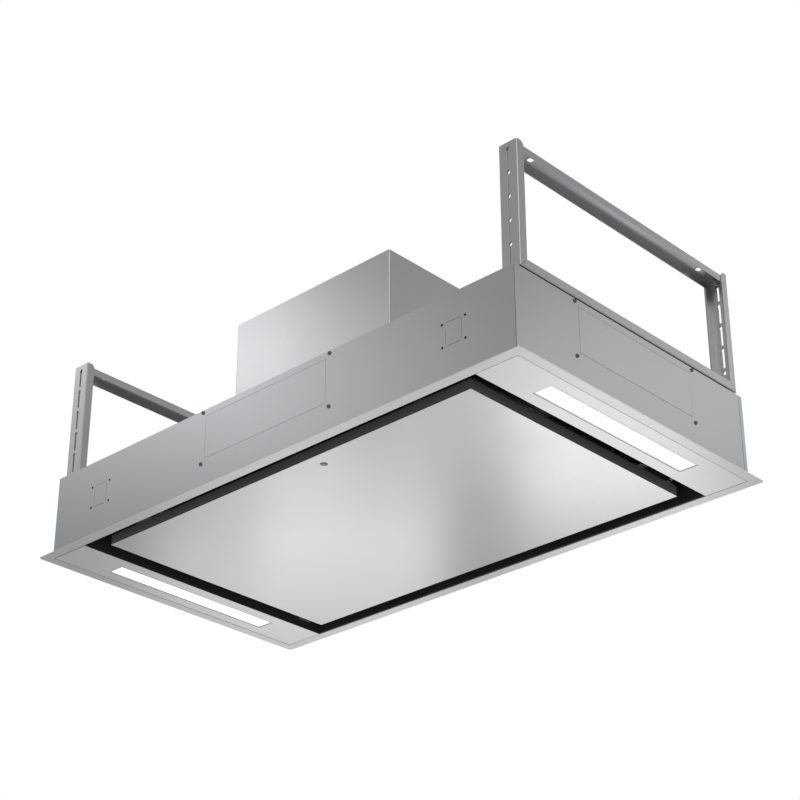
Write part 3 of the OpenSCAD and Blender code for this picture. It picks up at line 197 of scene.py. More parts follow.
class EffectTree(ShaderTree):
    """A shader group under construction, with vector and number inputs and number outputs."""

    def __init__(self, name: str, inputs: dict[str, str], *outputs: str) -> None:
        """Starts an empty group.

        Args:
            name: The group's name.
            inputs: Socket types by input name.
            outputs: Names of its outputs.
        """
        super().__init__(bpy.data.node_groups.new(name, "ShaderNodeTree"))
        face = self.tree.interface
        for label, kind in inputs.items():
            face.new_socket(label, in_out="INPUT", socket_type=kind)
        for label in outputs:
            face.new_socket(label, in_out="OUTPUT", socket_type="NodeSocketFloat")
        self.given = self.tree.nodes.new("NodeGroupInput").outputs
        self.sink = self.tree.nodes.new("NodeGroupOutput")

    def finish(self, **outputs: Socket) -> NodeTree:
        """Links the outputs.

        Args:
            outputs: What feeds each output.

        Returns:
            The finished group.
        """
        feed(self.tree, self.sink, **outputs)
        return self.tree


class ShaderGroups:
    """The effects that more than one finish uses, each built once."""

    PLACE = {"Vector": "NodeSocketVector"}
    SCALED = {"Vector": "NodeSocketVector", "Scale": "NodeSocketFloat"}
    FINE = {"Scale": 1.0, "Detail": 4.0, "Roughness": 0.6}
    BROAD = {"Scale": 0.13, "Detail": 2.0, "Roughness": 0.5}
    SOFT = {"Detail": 3.0, "Roughness": 0.45}
    HALF = 0.5

    def __init__(self) -> None:
        """Builds every group."""
        self.grain = self._rolled_grain()
        self.cloud = self._soft_cloud()
        self.speckle = self._fine_speckle()

    def _rolled_grain(self) -> NodeTree:
        """Fine parallel streaks of a rolled sheet, on coordinates that are already stretched.

        Returns:
            The group.
        """
        made = EffectTree("rolled_grain", self.PLACE, "Height", "Streak")
        fine, broad = (
            made.add("ShaderNodeTexNoise", Vector=made.given["Vector"], **look).outputs["Fac"]
            for look in (self.FINE, self.BROAD)
        )
        streak = made.maths("ADD", made.maths("MULTIPLY", fine, self.HALF),
                            made.maths("MULTIPLY", broad, self.HALF))
        return made.finish(Height=fine, Streak=streak)

    def _soft_cloud(self) -> NodeTree:
        """Broad soft variation from about -0.5 to 0.5.

        Returns:
            The group.
        """
        made = EffectTree("soft_cloud", self.SCALED, "Level")
        noise = made.add("ShaderNodeTexNoise", Vector=made.given["Vector"],
                         Scale=made.given["Scale"], **self.SOFT)
        return made.finish(Level=made.maths("SUBTRACT", noise.outputs["Fac"], self.HALF))

    def _fine_speckle(self) -> NodeTree:
        """Even fine texture of moulded plastic, paint and cast surfaces.

        Returns:
            The group.
        """
        made = EffectTree("fine_speckle", self.SCALED, "Height")
        cells = made.add("ShaderNodeTexVoronoi", feature="SMOOTH_F1",
                         Vector=made.given["Vector"], Scale=made.given["Scale"])
        return made.finish(Height=cells.outputs["Distance"])


GROUPS = ShaderGroups()


class MaterialTree(ShaderTree):
    """A material's tree with its Principled shader and object coordinates."""

    def __init__(self, name: str) -> None:
        """Starts the material.

        Args:
            name: The material's name.
        """
        self.material = bpy.data.materials.new(name)
        self.material.use_nodes = True
        super().__init__(self.material.node_tree)
        self.shader = self.tree.nodes["Principled BSDF"]
        self.place = self.add("ShaderNodeTexCoord").outputs["Object"]

    def effect(self, group: NodeTree, vector: Socket, **values: float) -> Node:
        """Places a shader group on a vector, with its other inputs set."""
        return self.add("ShaderNodeGroup", node_tree=group, Vector=vector, **values)

    def surface(self, **values: Socket | float) -> None:
        """Sets or links inputs of the Principled shader."""
        feed(self.tree, self.shader, **values)

    def tone(self, low: Sequence[float], high: Sequence[float], level: Socket) -> None:
        """Feeds the base colour with a mix of two tones.

        Args:
            low: Tone where the level is 0.
            high: Tone where the level is 1.
            level: The mixing level.
        """
        mix = self.add("ShaderNodeMix", data_type="RGBA", Factor=level)
        for label, colour in (("A", low), ("B", high)):
            target = next(s for s in mix.inputs if s.name == label and s.type == "RGBA")
            target.default_value = (*colour, 1.0)
        self.surface(Base_Color=next(s for s in mix.outputs if s.type == "RGBA"))

    def bump(self, height: Socket, depth: float) -> None:
        """Feeds the normal with a bump.

        Args:
            height: The bump's height from 0 to 1.
            depth: Its depth in metres.
        """
        node = self.add("ShaderNodeBump", Strength=1.0, Distance=depth, Height=height)
        self.surface(Normal=node.outputs["Normal"])


# Finishes


def shade(tone: Sequence[float], factor: float) -> tuple[float, ...]:
    """A tone made lighter or darker, at most white."""
    return tuple(min(1.0, c * factor) for c in tone)


@dataclass(frozen=True)
class Finish:
    """What every finish has: a name, the record's slot, a base tone and a roughness."""

    name: str
    slot: Slot
    tone: Triple
    roughness: float

    def build(self) -> Material:
        """Makes the material.

        Returns:
            The material.
        """
        made = MaterialTree(self.name)
        self.paint(made)
        return made.material

    def paint(self, made: MaterialTree) -> None:
        """Gives the new material its look."""
        raise NotImplementedError


@dataclass(frozen=True)
class SheetFinish(Finish):
    """Bare metal sheet: rolling grain along one axis and soft clouding."""

    along: Axis = Axis.X
    metallic: float = 1.0
    cloud: float = 0.10
    cloud_scale: float = 5.0
    grain_depth: float = 0.0007 * MM
    grain_length: float = 25.0
    grain_width: float = 2200.0
    rough_base: float = 0.96
    rough_grain: float = 0.08
    rough_cloud: float = 0.3

    def paint(self, made: MaterialTree) -> None:
        """Lays the grain and the clouding on the metal.

        Args:
            made: The new material's tree.
        """
        scale = [self.grain_width] * 3
        scale[self.along.value] = self.grain_length
        stretched = made.add("ShaderNodeMapping", Scale=scale, Vector=made.place)
        grain = made.effect(GROUPS.grain, stretched.outputs["Vector"]).outputs
        level = made.effect(GROUPS.cloud, made.place, Scale=self.cloud_scale).outputs["Level"]
        made.tone(shade(self.tone, 1 - self.cloud / 2), shade(self.tone, 1 + self.cloud / 2),
                  made.maths("ADD", level, grain["Streak"]))
        rough = made.maths("MULTIPLY", grain["Streak"], self.rough_grain * self.roughness)
        rough = made.maths("ADD", rough, self.rough_base * self.roughness)
        cloudy = made.maths("MULTIPLY", level, self.rough_cloud * self.roughness)
        made.surface(Roughness=made.maths("ADD", rough, cloudy), Metallic=self.metallic)
        made.bump(grain["Height"], self.grain_depth)


@dataclass(frozen=True)
class MouldedFinish(Finish):
    """Plastic, rubber or paint: fine texture and faint mottling."""

    texture_depth: float = 0.02 * MM
    texture_scale: float = 900.0
    mottle: float = 0.12
    mottle_scale: float = 18.0
    rough_mottle: float = 0.15
    coat: float = 0.0

    def paint(self, made: MaterialTree) -> None:
        """Lays the texture and the mottling on the surface.

        Args:
            made: The new material's tree.
        """
        speckle = made.effect(GROUPS.speckle, made.place, Scale=self.texture_scale)
        cloud = made.effect(GROUPS.cloud, made.place, Scale=self.mottle_scale).outputs["Level"]
        made.tone(shade(self.tone, 1 - self.mottle), shade(self.tone, 1 + self.mottle),
                  made.maths("ADD", cloud, ShaderGroups.HALF))
        rough = made.maths("ADD", made.maths("MULTIPLY", cloud, self.rough_mottle), self.roughness)
        made.surface(Roughness=rough, Coat_Weight=self.coat)
        made.bump(speckle.outputs["Height"], self.texture_depth)


@dataclass(frozen=True)
class DiffuserFinish(Finish):
    """Opal window lit from behind by a row of small lamps."""

    strength: float = 1.3
    lamp_pitch: float = 11.0 * MM
    bands_per_scale: float = 20.0
    lamp_level: float = 0.3
    cloud_scale: float = 30.0
    dim_tone: float = 0.96
    dim_glow: float = 0.93

    def paint(self, made: MaterialTree) -> None:
        """Lets the lamps and a faint clouding show in the window.

        Args:
            made: The new material's tree.
        """
        cloud = made.effect(GROUPS.cloud, made.place, Scale=self.cloud_scale)
        wave = made.add("ShaderNodeTexWave", wave_type="BANDS", bands_direction="Y",
                        Distortion=0.0, Scale=1 / (self.lamp_pitch * self.bands_per_scale),
                        Vector=made.place)
        lamps = made.maths("MULTIPLY", wave.outputs["Fac"], self.lamp_level)
        level = made.maths("ADD", lamps, cloud.outputs["Level"])
        made.tone(shade(self.tone, self.dim_tone), self.tone, level)
        glow = made.add("ShaderNodeValToRGB", Fac=level)
        dark, bright = glow.color_ramp.elements
        dark.color = (*shade(self.tone, self.dim_glow), 1.0)
        bright.color = (*self.tone, 1.0)
        made.surface(Emission_Color=glow.outputs["Color"], Emission_Strength=self.strength,
                     Roughness=self.roughness)


@dataclass(frozen=True)
class BoardFinish(Finish):
    """Circuit board: solder mask with paler tracks."""

    track_scale: float = 260.0
    track_width: float = 0.09
    track_edge: float = 0.2
    track_tone: float = 1.8
    track_depth: float = 0.03 * MM

    def paint(self, made: MaterialTree) -> None:
        """Draws the tracks.

        Args:
            made: The new material's tree.
        """
        tracks = made.add("ShaderNodeTexBrick", Scale=self.track_scale, Vector=made.place,
                          Mortar_Size=self.track_width, Mortar_Smooth=self.track_edge)
        made.tone(self.tone, shade(self.tone, self.track_tone), tracks.outputs["Fac"])
        made.surface(Roughness=self.roughness)
        made.bump(tracks.outputs["Fac"], self.track_depth)


class Finishes:
    """Every finish of the hood."""

    satin = SheetFinish("satin_steel_along_x", Slot.SATIN, (0.80, 0.80, 0.81), 0.22, cloud=0.04)
    satin_trim = SheetFinish("satin_steel_trim", Slot.SATIN, (0.88, 0.88, 0.89), 0.29, cloud=0.04)
    satin_side = SheetFinish("satin_steel_along_y", Slot.SATIN, (0.95, 0.95, 0.96), 0.29,
                             along=Axis.Y, cloud=0.04)
    sheet_x = SheetFinish("galvanised_along_x", Slot.GALVANISED, (0.57, 0.585, 0.60), 0.29,
                          cloud=0.04)
    sheet_y = SheetFinish("galvanised_along_y", Slot.GALVANISED, (0.56, 0.575, 0.59), 0.29,
                          along=Axis.Y, cloud=0.04)
    sheet_z = SheetFinish("galvanised_along_z", Slot.GALVANISED, (0.62, 0.63, 0.645), 0.29,
                          along=Axis.Z, cloud=0.025)
    bracket = SheetFinish("bracket_steel", Slot.BRACKET, (0.61, 0.61, 0.615), 0.38,
                          along=Axis.Y, cloud=0.04)
    black = SheetFinish("black_sheet", Slot.BLACK, (0.055, 0.055, 0.06), 0.34,
                        metallic=0.0, grain_depth=0.001 * MM)
    tray = SheetFinish("dark_tray", Slot.BLACK, (0.27, 0.27, 0.28), 0.32,
                       metallic=0.0, grain_depth=0.001 * MM)
    zinc = SheetFinish("zinc_plate", Slot.ZINC, (0.66, 0.66, 0.65), 0.30, grain_width=700.0)
    screw = SheetFinish("dull_zinc", Slot.ZINC, (0.24, 0.24, 0.245), 0.45, grain_width=700.0)
    rim = SheetFinish("aluminium_rim", Slot.RIM, (0.72, 0.72, 0.72), 0.36)
    mesh = SheetFinish("aluminium_mesh", Slot.MESH, (0.70, 0.70, 0.70), 0.32, grain_width=900.0)
    diffuser = DiffuserFinish("lit_diffuser", Slot.DIFFUSER, (1.0, 1.0, 1.0), 0.5)
    white = MouldedFinish("white_plastic", Slot.WHITE, (0.80, 0.80, 0.77), 0.45, mottle=0.04)
    plastic = MouldedFinish("dark_plastic", Slot.PLASTIC, (0.045, 0.046, 0.05), 0.42)
    lens = MouldedFinish("receiver_lens", Slot.PLASTIC, (0.02, 0.02, 0.022), 0.12,
                         texture_depth=0.001 * MM, coat=1.0)
    motor = MouldedFinish("motor_paint", Slot.MOTOR, (0.10, 0.11, 0.12), 0.38,
                          texture_depth=0.03 * MM, coat=0.3)
    rubber = MouldedFinish("rubber", Slot.RUBBER, (0.022, 0.022, 0.022), 0.62, mottle=0.2)
    board = BoardFinish("circuit_board", Slot.BOARD, (0.03, 0.16, 0.06), 0.35)


@cache
def material_of(finish: Finish) -> Material:
    """A finish's material, made on first use."""
    return finish.build()


# Geometry


def edges_at(**places: float | Sequence[float]) -> Selector:
    """A test for edges whose ends both lie at the given coordinates.

    Args:
        places: Coordinates by axis letter, each a number or several that all count.

    Returns:
        The test.
    """
    wanted = {
        "xyz".index(axis): tuple(value) if isinstance(value, Sequence) else (value,)
        for axis, value in places.items()
    }

    def test(a: Vector, b: Vector) -> bool:
        """Whether both ends lie there."""
        return all(any(abs(a[i] - p) < NEAR and abs(b[i] - p) < NEAR for p in ps)
                   for i, ps in wanted.items())

    return test


@dataclass(frozen=True)
class Box:
    """An upright box between two corners, in metres."""

    low: Vector
    high: Vector

    @classmethod
    def of(cls, *nodes: str) -> "Box":
        """The box round some CAD nodes.

        Args:
            nodes: Their names.

        Returns:
            The box.
        """
        corners = [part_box(node) for node in nodes]
        low = Vector([min(c[0][i] for c in corners) for i in range(3)])
        high = Vector([max(c[1][i] for c in corners) for i in range(3)])
        return cls(low, high)

    @property
    def centre(self) -> Vector:
        """Its middle."""
        return (self.low + self.high) / 2

    @property
    def size(self) -> Vector:
        """Its three lengths."""
        return self.high - self.low

    @property
    def uprights(self) -> Selector:
        """The test for its four upright edges."""
        return edges_at(x=(self.low.x, self.high.x), y=(self.low.y, self.high.y))

    def grown(self, x: float = 0.0, y: float = 0.0, z: float = 0.0) -> "Box":
        """The box with each face moved out by the given amounts."""
        step = Vector((x, y, z))
        return Box(self.low - step, self.high + step)

    def but(self, **places: float) -> "Box":
        """The box with some faces moved.

        Args:
            places: New places by face, as x0, x1, y0, y1, z0 and z1.

        Returns:
            The changed box.
        """
        low, high = self.low.copy(), self.high.copy()
        for face, place in places.items():
            (low if face[1] == "0" else high)["xyz".index(face[0])] = place
        return Box(low, high)


def block(x0: float, x1: float, y0: float, y1: float, z0: float, z1: float) -> Box:
    """A box from its six faces."""
    return Box(Vector((x0, y0, z0)), Vector((x1, y1, z1)))


class Solid:
    """A closed mesh under construction, shaped with bmesh operators."""

    LEVEL = math.radians(0.5)
    FLAT = 0.004 * MM
    FOLDED = 0.99
    PASSES = 3
    BLEND = math.cos(math.radians(50))

    def __init__(self) -> None:
        """Starts empty."""
        self.mesh = bmesh.new()

    @classmethod
    def of_node(cls, node: str) -> "Solid":
        """A merged copy of a CAD node's mesh.

        Args:
            node: The node's name.

        Returns:
            The copy.
        """
        solid = cls()
        solid.mesh.from_mesh(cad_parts[node].data)
        bmesh.ops.remove_doubles(solid.mesh, verts=solid.mesh.verts, dist=NEAR / 10)
        return solid

    def tidy(self) -> "Solid":
        """Dissolves the edges inside flat faces.

        Returns:
            The solid itself.
        """
        bmesh.ops.dissolve_limit(self.mesh, angle_limit=self.LEVEL, verts=self.mesh.verts,
                                 edges=self.mesh.edges)
        return self

    def slab(self, box: Box) -> "Solid":
        """Adds a box.

        Args:
            box: The box.

        Returns:
            The solid itself.
        """
        matrix = Matrix.Translation(box.centre) @ Matrix.Diagonal((*box.size, 1.0))
        bmesh.ops.create_cube(self.mesh, size=1.0, matrix=matrix)
        return self

    def rod(self, start: Sequence[float], end: Sequence[float], radius: float,
            segments: int) -> "Solid":
        """Adds a cylinder.

        Args:
            start: Middle of its first face.
            end: Middle of its last face.
            radius: Its radius.
            segments: Number of sides.

        Returns:
            The solid itself.
        """
        a, b = Vector(start), Vector(end)
        turn = (b - a).to_track_quat("Z", "Y").to_matrix().to_4x4()
        bmesh.ops.create_cone(self.mesh, cap_ends=True, segments=segments, radius1=radius,
                              radius2=radius, depth=(b - a).length,
                              matrix=Matrix.Translation((a + b) / 2) @ turn)
        return self

    def round(self, where: Selector, radius: float, segments: int = 4) -> "Solid":
        """Rounds some edges.

        Args:
            where: The test that picks them by their two ends.
            radius: Radius of the rounding.
            segments: Faces across it.

        Returns:
            The solid itself.
        """
        edges = [e for e in self.mesh.edges if where(e.verts[0].co, e.verts[1].co)]
        if not edges:
            raise ValueError("no edge to round")
        bmesh.ops.bevel(self.mesh, geom=edges, offset=radius, offset_type="OFFSET", affect="EDGES",
                        segments=segments, profile=0.5, material=-1, clamp_overlap=True)
        return self

    def minus(self, *others: "Solid") -> "Solid":
        """Cuts other solids out of it."""
        return self._combine("DIFFERENCE", others)

    def plus(self, *others: "Solid") -> "Solid":
        """Joins other solids to it."""
        return self._combine("UNION", others)

    def within(self, other: "Solid") -> "Solid":
        """Keeps only what lies inside another solid."""
        return self._combine("INTERSECT", [other])

    def _combine(self, operation: str, others: Iterable["Solid"]) -> "Solid":
        """Runs a boolean with each of the others in turn, which are used up.

        Args:
            operation: The boolean's operation.
            others: The other solids.

        Returns:
            The solid itself.
        """
        for other in others:
            tool = other._stand_in()
            self._modify("BOOLEAN", operation=operation, solver="EXACT", object=tool)
            data = tool.data
            bpy.data.objects.remove(tool)
            bpy.data.meshes.remove(data)
            other.mesh.free()
            self.tidy()
        return self

    def _stand_in(self) -> Piece:
        """A temporary object that holds the mesh.

        Returns:
            The object.
        """
        bmesh.ops.recalc_face_normals(self.mesh, faces=self.mesh.faces)
        data = bpy.data.meshes.new("stand_in")
        self.mesh.to_mesh(data)
        return in_scene("stand_in", data)

    def _modify(self, kind: str, **settings: object) -> None:
        """Puts the mesh through a modifier.

        Args:
            kind: The modifier's type.
            settings: Its settings by name.
        """
        made = self._stand_in()
        modifier = made.modifiers.new("shaping", kind)
        for label, value in settings.items():
            setattr(modifier, label, value)
        graph = bpy.context.evaluated_depsgraph_get()
        result, data = bpy.data.meshes.new_from_object(made.evaluated_get(graph)), made.data
        self.mesh.clear()
        self.mesh.from_mesh(result)
        bpy.data.objects.remove(made)
        for used in (data, result):
            bpy.data.meshes.remove(used)

    def moved(self, matrix: Matrix) -> "Solid":
        """Moves the whole solid.

        Args:
            matrix: The move, without mirroring.

        Returns:
            The solid itself.
        """
        bmesh.ops.transform(self.mesh, matrix=matrix, verts=self.mesh.verts)
        return self

    def join(self, other: "Solid") -> None:
        """Adds another solid as it is.

        Args:
            other: The other solid, which is used up.
        """
        data = bpy.data.meshes.new("joined")
        other.mesh.to_mesh(data)
        other.mesh.free()
        self.mesh.from_mesh(data)
        bpy.data.meshes.remove(data)

    def repeated(self, places: Iterable[Matrix]) -> "Solid":
        """Copies the solid to several places, which uses it up.

        Args:
            places: Where each copy goes.

        Returns:
            The copies as one new solid.
        """
        template = bpy.data.meshes.new("template")
        self.mesh.to_mesh(template)
        copies = Solid()
        for place in places:
            before = len(copies.mesh.verts)
            copies.mesh.from_mesh(template)
            copies.mesh.verts.ensure_lookup_table()
            bmesh.ops.transform(copies.mesh, matrix=place, verts=copies.mesh.verts[before:])
        bpy.data.meshes.remove(template)
        self.mesh.free()
        return copies

    def soften(self, radius: float, segments: int) -> None:
        """Rounds every edge that is still sharp.

        Args:
            radius: Radius of the rounding.
            segments: Faces across it.
        """
        bmesh.ops.dissolve_degenerate(self.mesh, dist=NEAR / 2, edges=self.mesh.edges)
        self._modify("BEVEL", width=radius, segments=segments, limit_method="ANGLE",
                     angle_limit=SHARP)
        self.unfold()

    def unfold(self) -> None:
        """Turns the long edge of every sliver that the rounding folded over its neighbour."""
        for _ in range(self.PASSES):
            for face in sorted(self.mesh.faces, key=lambda f: f.calc_area()):
                if not face.is_valid or len(face.verts) > 3:
                    continue
                edge = max(face.edges, key=lambda e: e.calc_length())
                if any(f.normal.dot(face.normal) < -self.FOLDED for f in edge.link_faces):
                    bmesh.ops.rotate_edges(self.mesh, edges=[edge])
            self.mesh.normal_update()

    def corner_normals(self) -> list[Vector]:
        """Normals for every face corner: flats stay flat, and only the faces between them blend.

        Returns:
            One normal for each corner, in the mesh's order.
        """
        flat_of: dict[bmesh.types.BMFace, int] = {}
        flats: list[tuple[Vector, float]] = []
        for first in sorted(self.mesh.faces, key=lambda face: -face.calc_area()):
            if first in flat_of:
                continue
            flat_of[first] = len(flats)
            place, out = first.verts[0].co.copy(), first.normal.copy()
            stack, area = [first], 0.0
            while stack:
                face = stack.pop()
                area += face.calc_area() / MM ** 2
                for other in {f for edge in face.edges for f in edge.link_faces}:
                    if other not in flat_of and all(
                            abs((v.co - place).dot(out)) < self.FLAT for v in other.verts):
                        flat_of[other] = len(flats)
                        stack.append(other)
            flats.append((out, area))
        normals = []
        for face in self.mesh.faces:
            own = flats[flat_of[face]][0]
            for corner in face.loops:
                near = {flat_of[other] for other in corner.vert.link_faces}
                blended = [flats[i] for i in sorted(near) if flats[i][0].dot(own) > self.BLEND]
                blend = sum((out * area ** 2 for out, area in blended), Vector())
                normals.append(blend.normalized())
        return normals

    def piece(self, name: str, finish: Finish, *nodes: str, body: Body = Body.HOOD,
              soft: float = 0.25 * MM, segments: int = 2, cut: bool = False) -> Piece:
        """Turns the solid into a finished piece of the hood.

        Args:
            name: The piece's name.
            finish: Its finish.
            nodes: CAD nodes that it stands for.
            body: The body that it rides on.
            soft: Radius of its remaining sharp edges, 0 for none.
            segments: Faces across those edges.
            cut: Whether its flats, full of holes, are cut into triangles first.

        Returns:
            The new object.
        """
        bmesh.ops.recalc_face_normals(self.mesh, faces=self.mesh.faces)
        if cut:
            bmesh.ops.triangulate(self.mesh, faces=self.mesh.faces)
        if soft > 0:
            self.soften(soft, segments)
        data = bpy.data.meshes.new(name)
        self.mesh.to_mesh(data)
        data.shade_smooth()
        if soft > 0:
            data.normals_split_custom_set(self.corner_normals())
        else:
            data.set_sharp_from_angle(angle=SHARP)
        self.mesh.free()
        data.materials.append(material_of(finish))
        made = in_scene(name, data)
        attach(made, body.value)
        if nodes:
            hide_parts(*nodes)
        return made


def slab(box: Box) -> Solid:
    """A solid box."""
    return Solid().slab(box)


def islands(node: str) -> list[list[Vector]]:
    """The points of each separate solid of a CAD node.

    Args:
        node: The node's name.

    Returns:
        One list of points for each solid.
    """
    copy = Solid.of_node(node)
    found, left = [], set(copy.mesh.verts)
    while left:
        stack, points = [left.pop()], []
        while stack:
            vertex = stack.pop()
            points.append(vertex.co.copy())
            for edge in vertex.link_edges:
                other = edge.other_vert(vertex)
                if other in left:
                    left.remove(other)
                    stack.append(other)
        found.append(points)
    copy.mesh.free()
    return found


def screw_places(node: str, rim: float = 0.9) -> list[Matrix]:
    """Where the heads of a node's screws sit: the head's underside, with Z out of the head.

    Args:
        node: The node's name.
        rim: Share of a head's radius beyond which a point is on its rim.

    Returns:
        One placing for each screw.
    """
    places = []
    for points in islands(node):
        low = Vector([min(p[i] for p in points) for i in range(3)])
        high = Vector([max(p[i] for p in points) for i in range(3)])
        size, centre = high - low, (low + high) / 2
        axis = max(range(3), key=lambda i: abs(size[i] - sorted(size)[1]))
        across = [i for i in range(3) if i != axis]
        radius = max(size[i] for i in across) / 2
        middle = [centre[i] for i in across]
        head = [p[axis] for p in points if math.dist([p[i] for i in across], middle) > rim * radius]
        way = 1.0 if sum(head) / len(head) > centre[axis] else -1.0
        seat, out = centre.copy(), Vector()
        seat[axis], out[axis] = min(head) if way > 0 else max(head), way
        places.append(Matrix.Translation(seat) @ out.to_track_quat("Z", "Y").to_matrix().to_4x4())
    return places


def dress(finish: Finish, *nodes: str) -> None:
    """Gives CAD nodes that keep their own shape a finish.

    Args:
        finish: The finish.
        nodes: The nodes' names.
    """
    for node in nodes:
        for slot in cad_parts[node].material_slots:
            slot.material = material_of(finish)
        LOG.info("node %s: %s", node, finish.name)


class SubAssembly:
    """A group of pieces that is built and reported together."""

    def build(self) -> list[Piece]:
        """Makes the pieces."""
        raise NotImplementedError

    def report(self) -> None:
        """Builds the pieces and logs what each one is."""
        for made in self.build():
            LOG.info("%s: %s, %d faces", type(self).__name__, made.name, len(made.data.polygons))


Dressings = Sequence[tuple[Finish, tuple[str, ...]]]


@dataclass(frozen=True)
class Rounded:
    """A piece in a CAD node's own shape, with its sharp edges rounded."""

    node: str
    name: str
    finish: Finish
    soft: float = 0.25 * MM
    segments: int = 2
    body: Body = Body.HOOD
    cut: bool = False

    def build(self) -> Piece:
        """Makes the piece.

        Returns:
            The new object.
        """
        return Solid.of_node(self.node).tidy().piece(
            self.name, self.finish, self.node, body=self.body, soft=self.soft,
            segments=self.segments, cut=self.cut)


@dataclass
class Fittings(SubAssembly):
    """Parts that keep their CAD nodes' shape: some rounded, and some only given a finish."""

    dressed: Dressings = ()
    rounded: Sequence[Rounded] = ()

    def build(self) -> list[Piece]:
        """Dresses the nodes and makes the rounded pieces.

        Returns:
            The new objects.
        """
        for finish, nodes in self.dressed:
            dress(finish, *nodes)
        return [row.build() for row in self.rounded]


@dataclass
class TrimFrame(SubAssembly):
    """Flat ring that covers the edge of the ceiling cut-out."""

    sheet: float = 1.2 * MM
    corner: float = 4.0 * MM
    fold: float = 0.9 * MM
    end_gap: float = 0.6 * MM
    side_gap: float = 0.8 * MM
    tab: float = 12.0 * MM
    soft: float = 0.3 * MM

    def build(self) -> list[Piece]:
        """Makes the ring with its folded upstands.

        Returns:
            The new object.
        """
        whole = Box.of("trim_frame")
        opening = Box.of("light_plate_right", "light_plate_left")
        opening = opening.grown(x=self.end_gap, y=self.side_gap)
        plate = whole.but(z1=whole.low.z + self.sheet)
        ring = slab(plate).round(plate.uprights, self.corner, segments=8)
        ring.minus(slab(opening.grown(z=self.tab)))
        reach = Box.of("intake_frame").high.x - self.tab
        for way in (1.0, -1.0):
            inner = way * opening.high.y
            outer = way * (opening.high.y + self.sheet)
            ring.plus(slab(block(-reach, reach, min(inner, outer), max(inner, outer),
                                 whole.low.z, whole.high.z)))
            ring.round(edges_at(y=inner, z=whole.low.z), self.fold)
        return [ring.piece("trim_frame_ring", Finishes.satin_trim, "trim_frame", soft=self.soft)]


@dataclass(frozen=True)
class PanScrew:
    """Pan-head screw with a cross recess, its head standing on the origin."""

    head_radius: float = 2.75 * MM
    head_height: float = 1.6 * MM
    head_round: float = 1.12 * MM
    recess_arm: float = 1.5125 * MM
    recess_half: float = 0.3575 * MM
    recess_floor: float = 0.64 * MM
    shank_radius: float = 1.4725 * MM
    shank_length: float = 2.3 * MM

    def solid(self) -> Solid:
        """Makes one screw.

        Returns:
            The screw.
        """
        head = Solid()
        bmesh.ops.create_circle(head.mesh, segments=24, radius=self.head_radius, cap_ends=True)
        top = bmesh.ops.extrude_face_region(head.mesh, geom=list(head.mesh.faces))["geom"]
        lifted = [v for v in top if isinstance(v, bmesh.types.BMVert)]
        bmesh.ops.translate(head.mesh, vec=(0, 0, self.head_height), verts=lifted)
        bmesh.ops.recalc_face_normals(head.mesh, faces=head.mesh.faces)
        head.round(edges_at(z=self.head_height), self.head_round)
        arm, half, floor = self.recess_arm, self.recess_half, self.recess_floor
        over = 2 * self.head_height
        head.minus(slab(block(-arm, arm, -half, half, floor, over)),
                   slab(block(-half, half, -arm, arm, floor, over)))
        shank = Solid().rod((0, 0, -self.shank_length), (0, 0, floor / 2), self.shank_radius,
                            segments=16)
        return head.plus(shank)


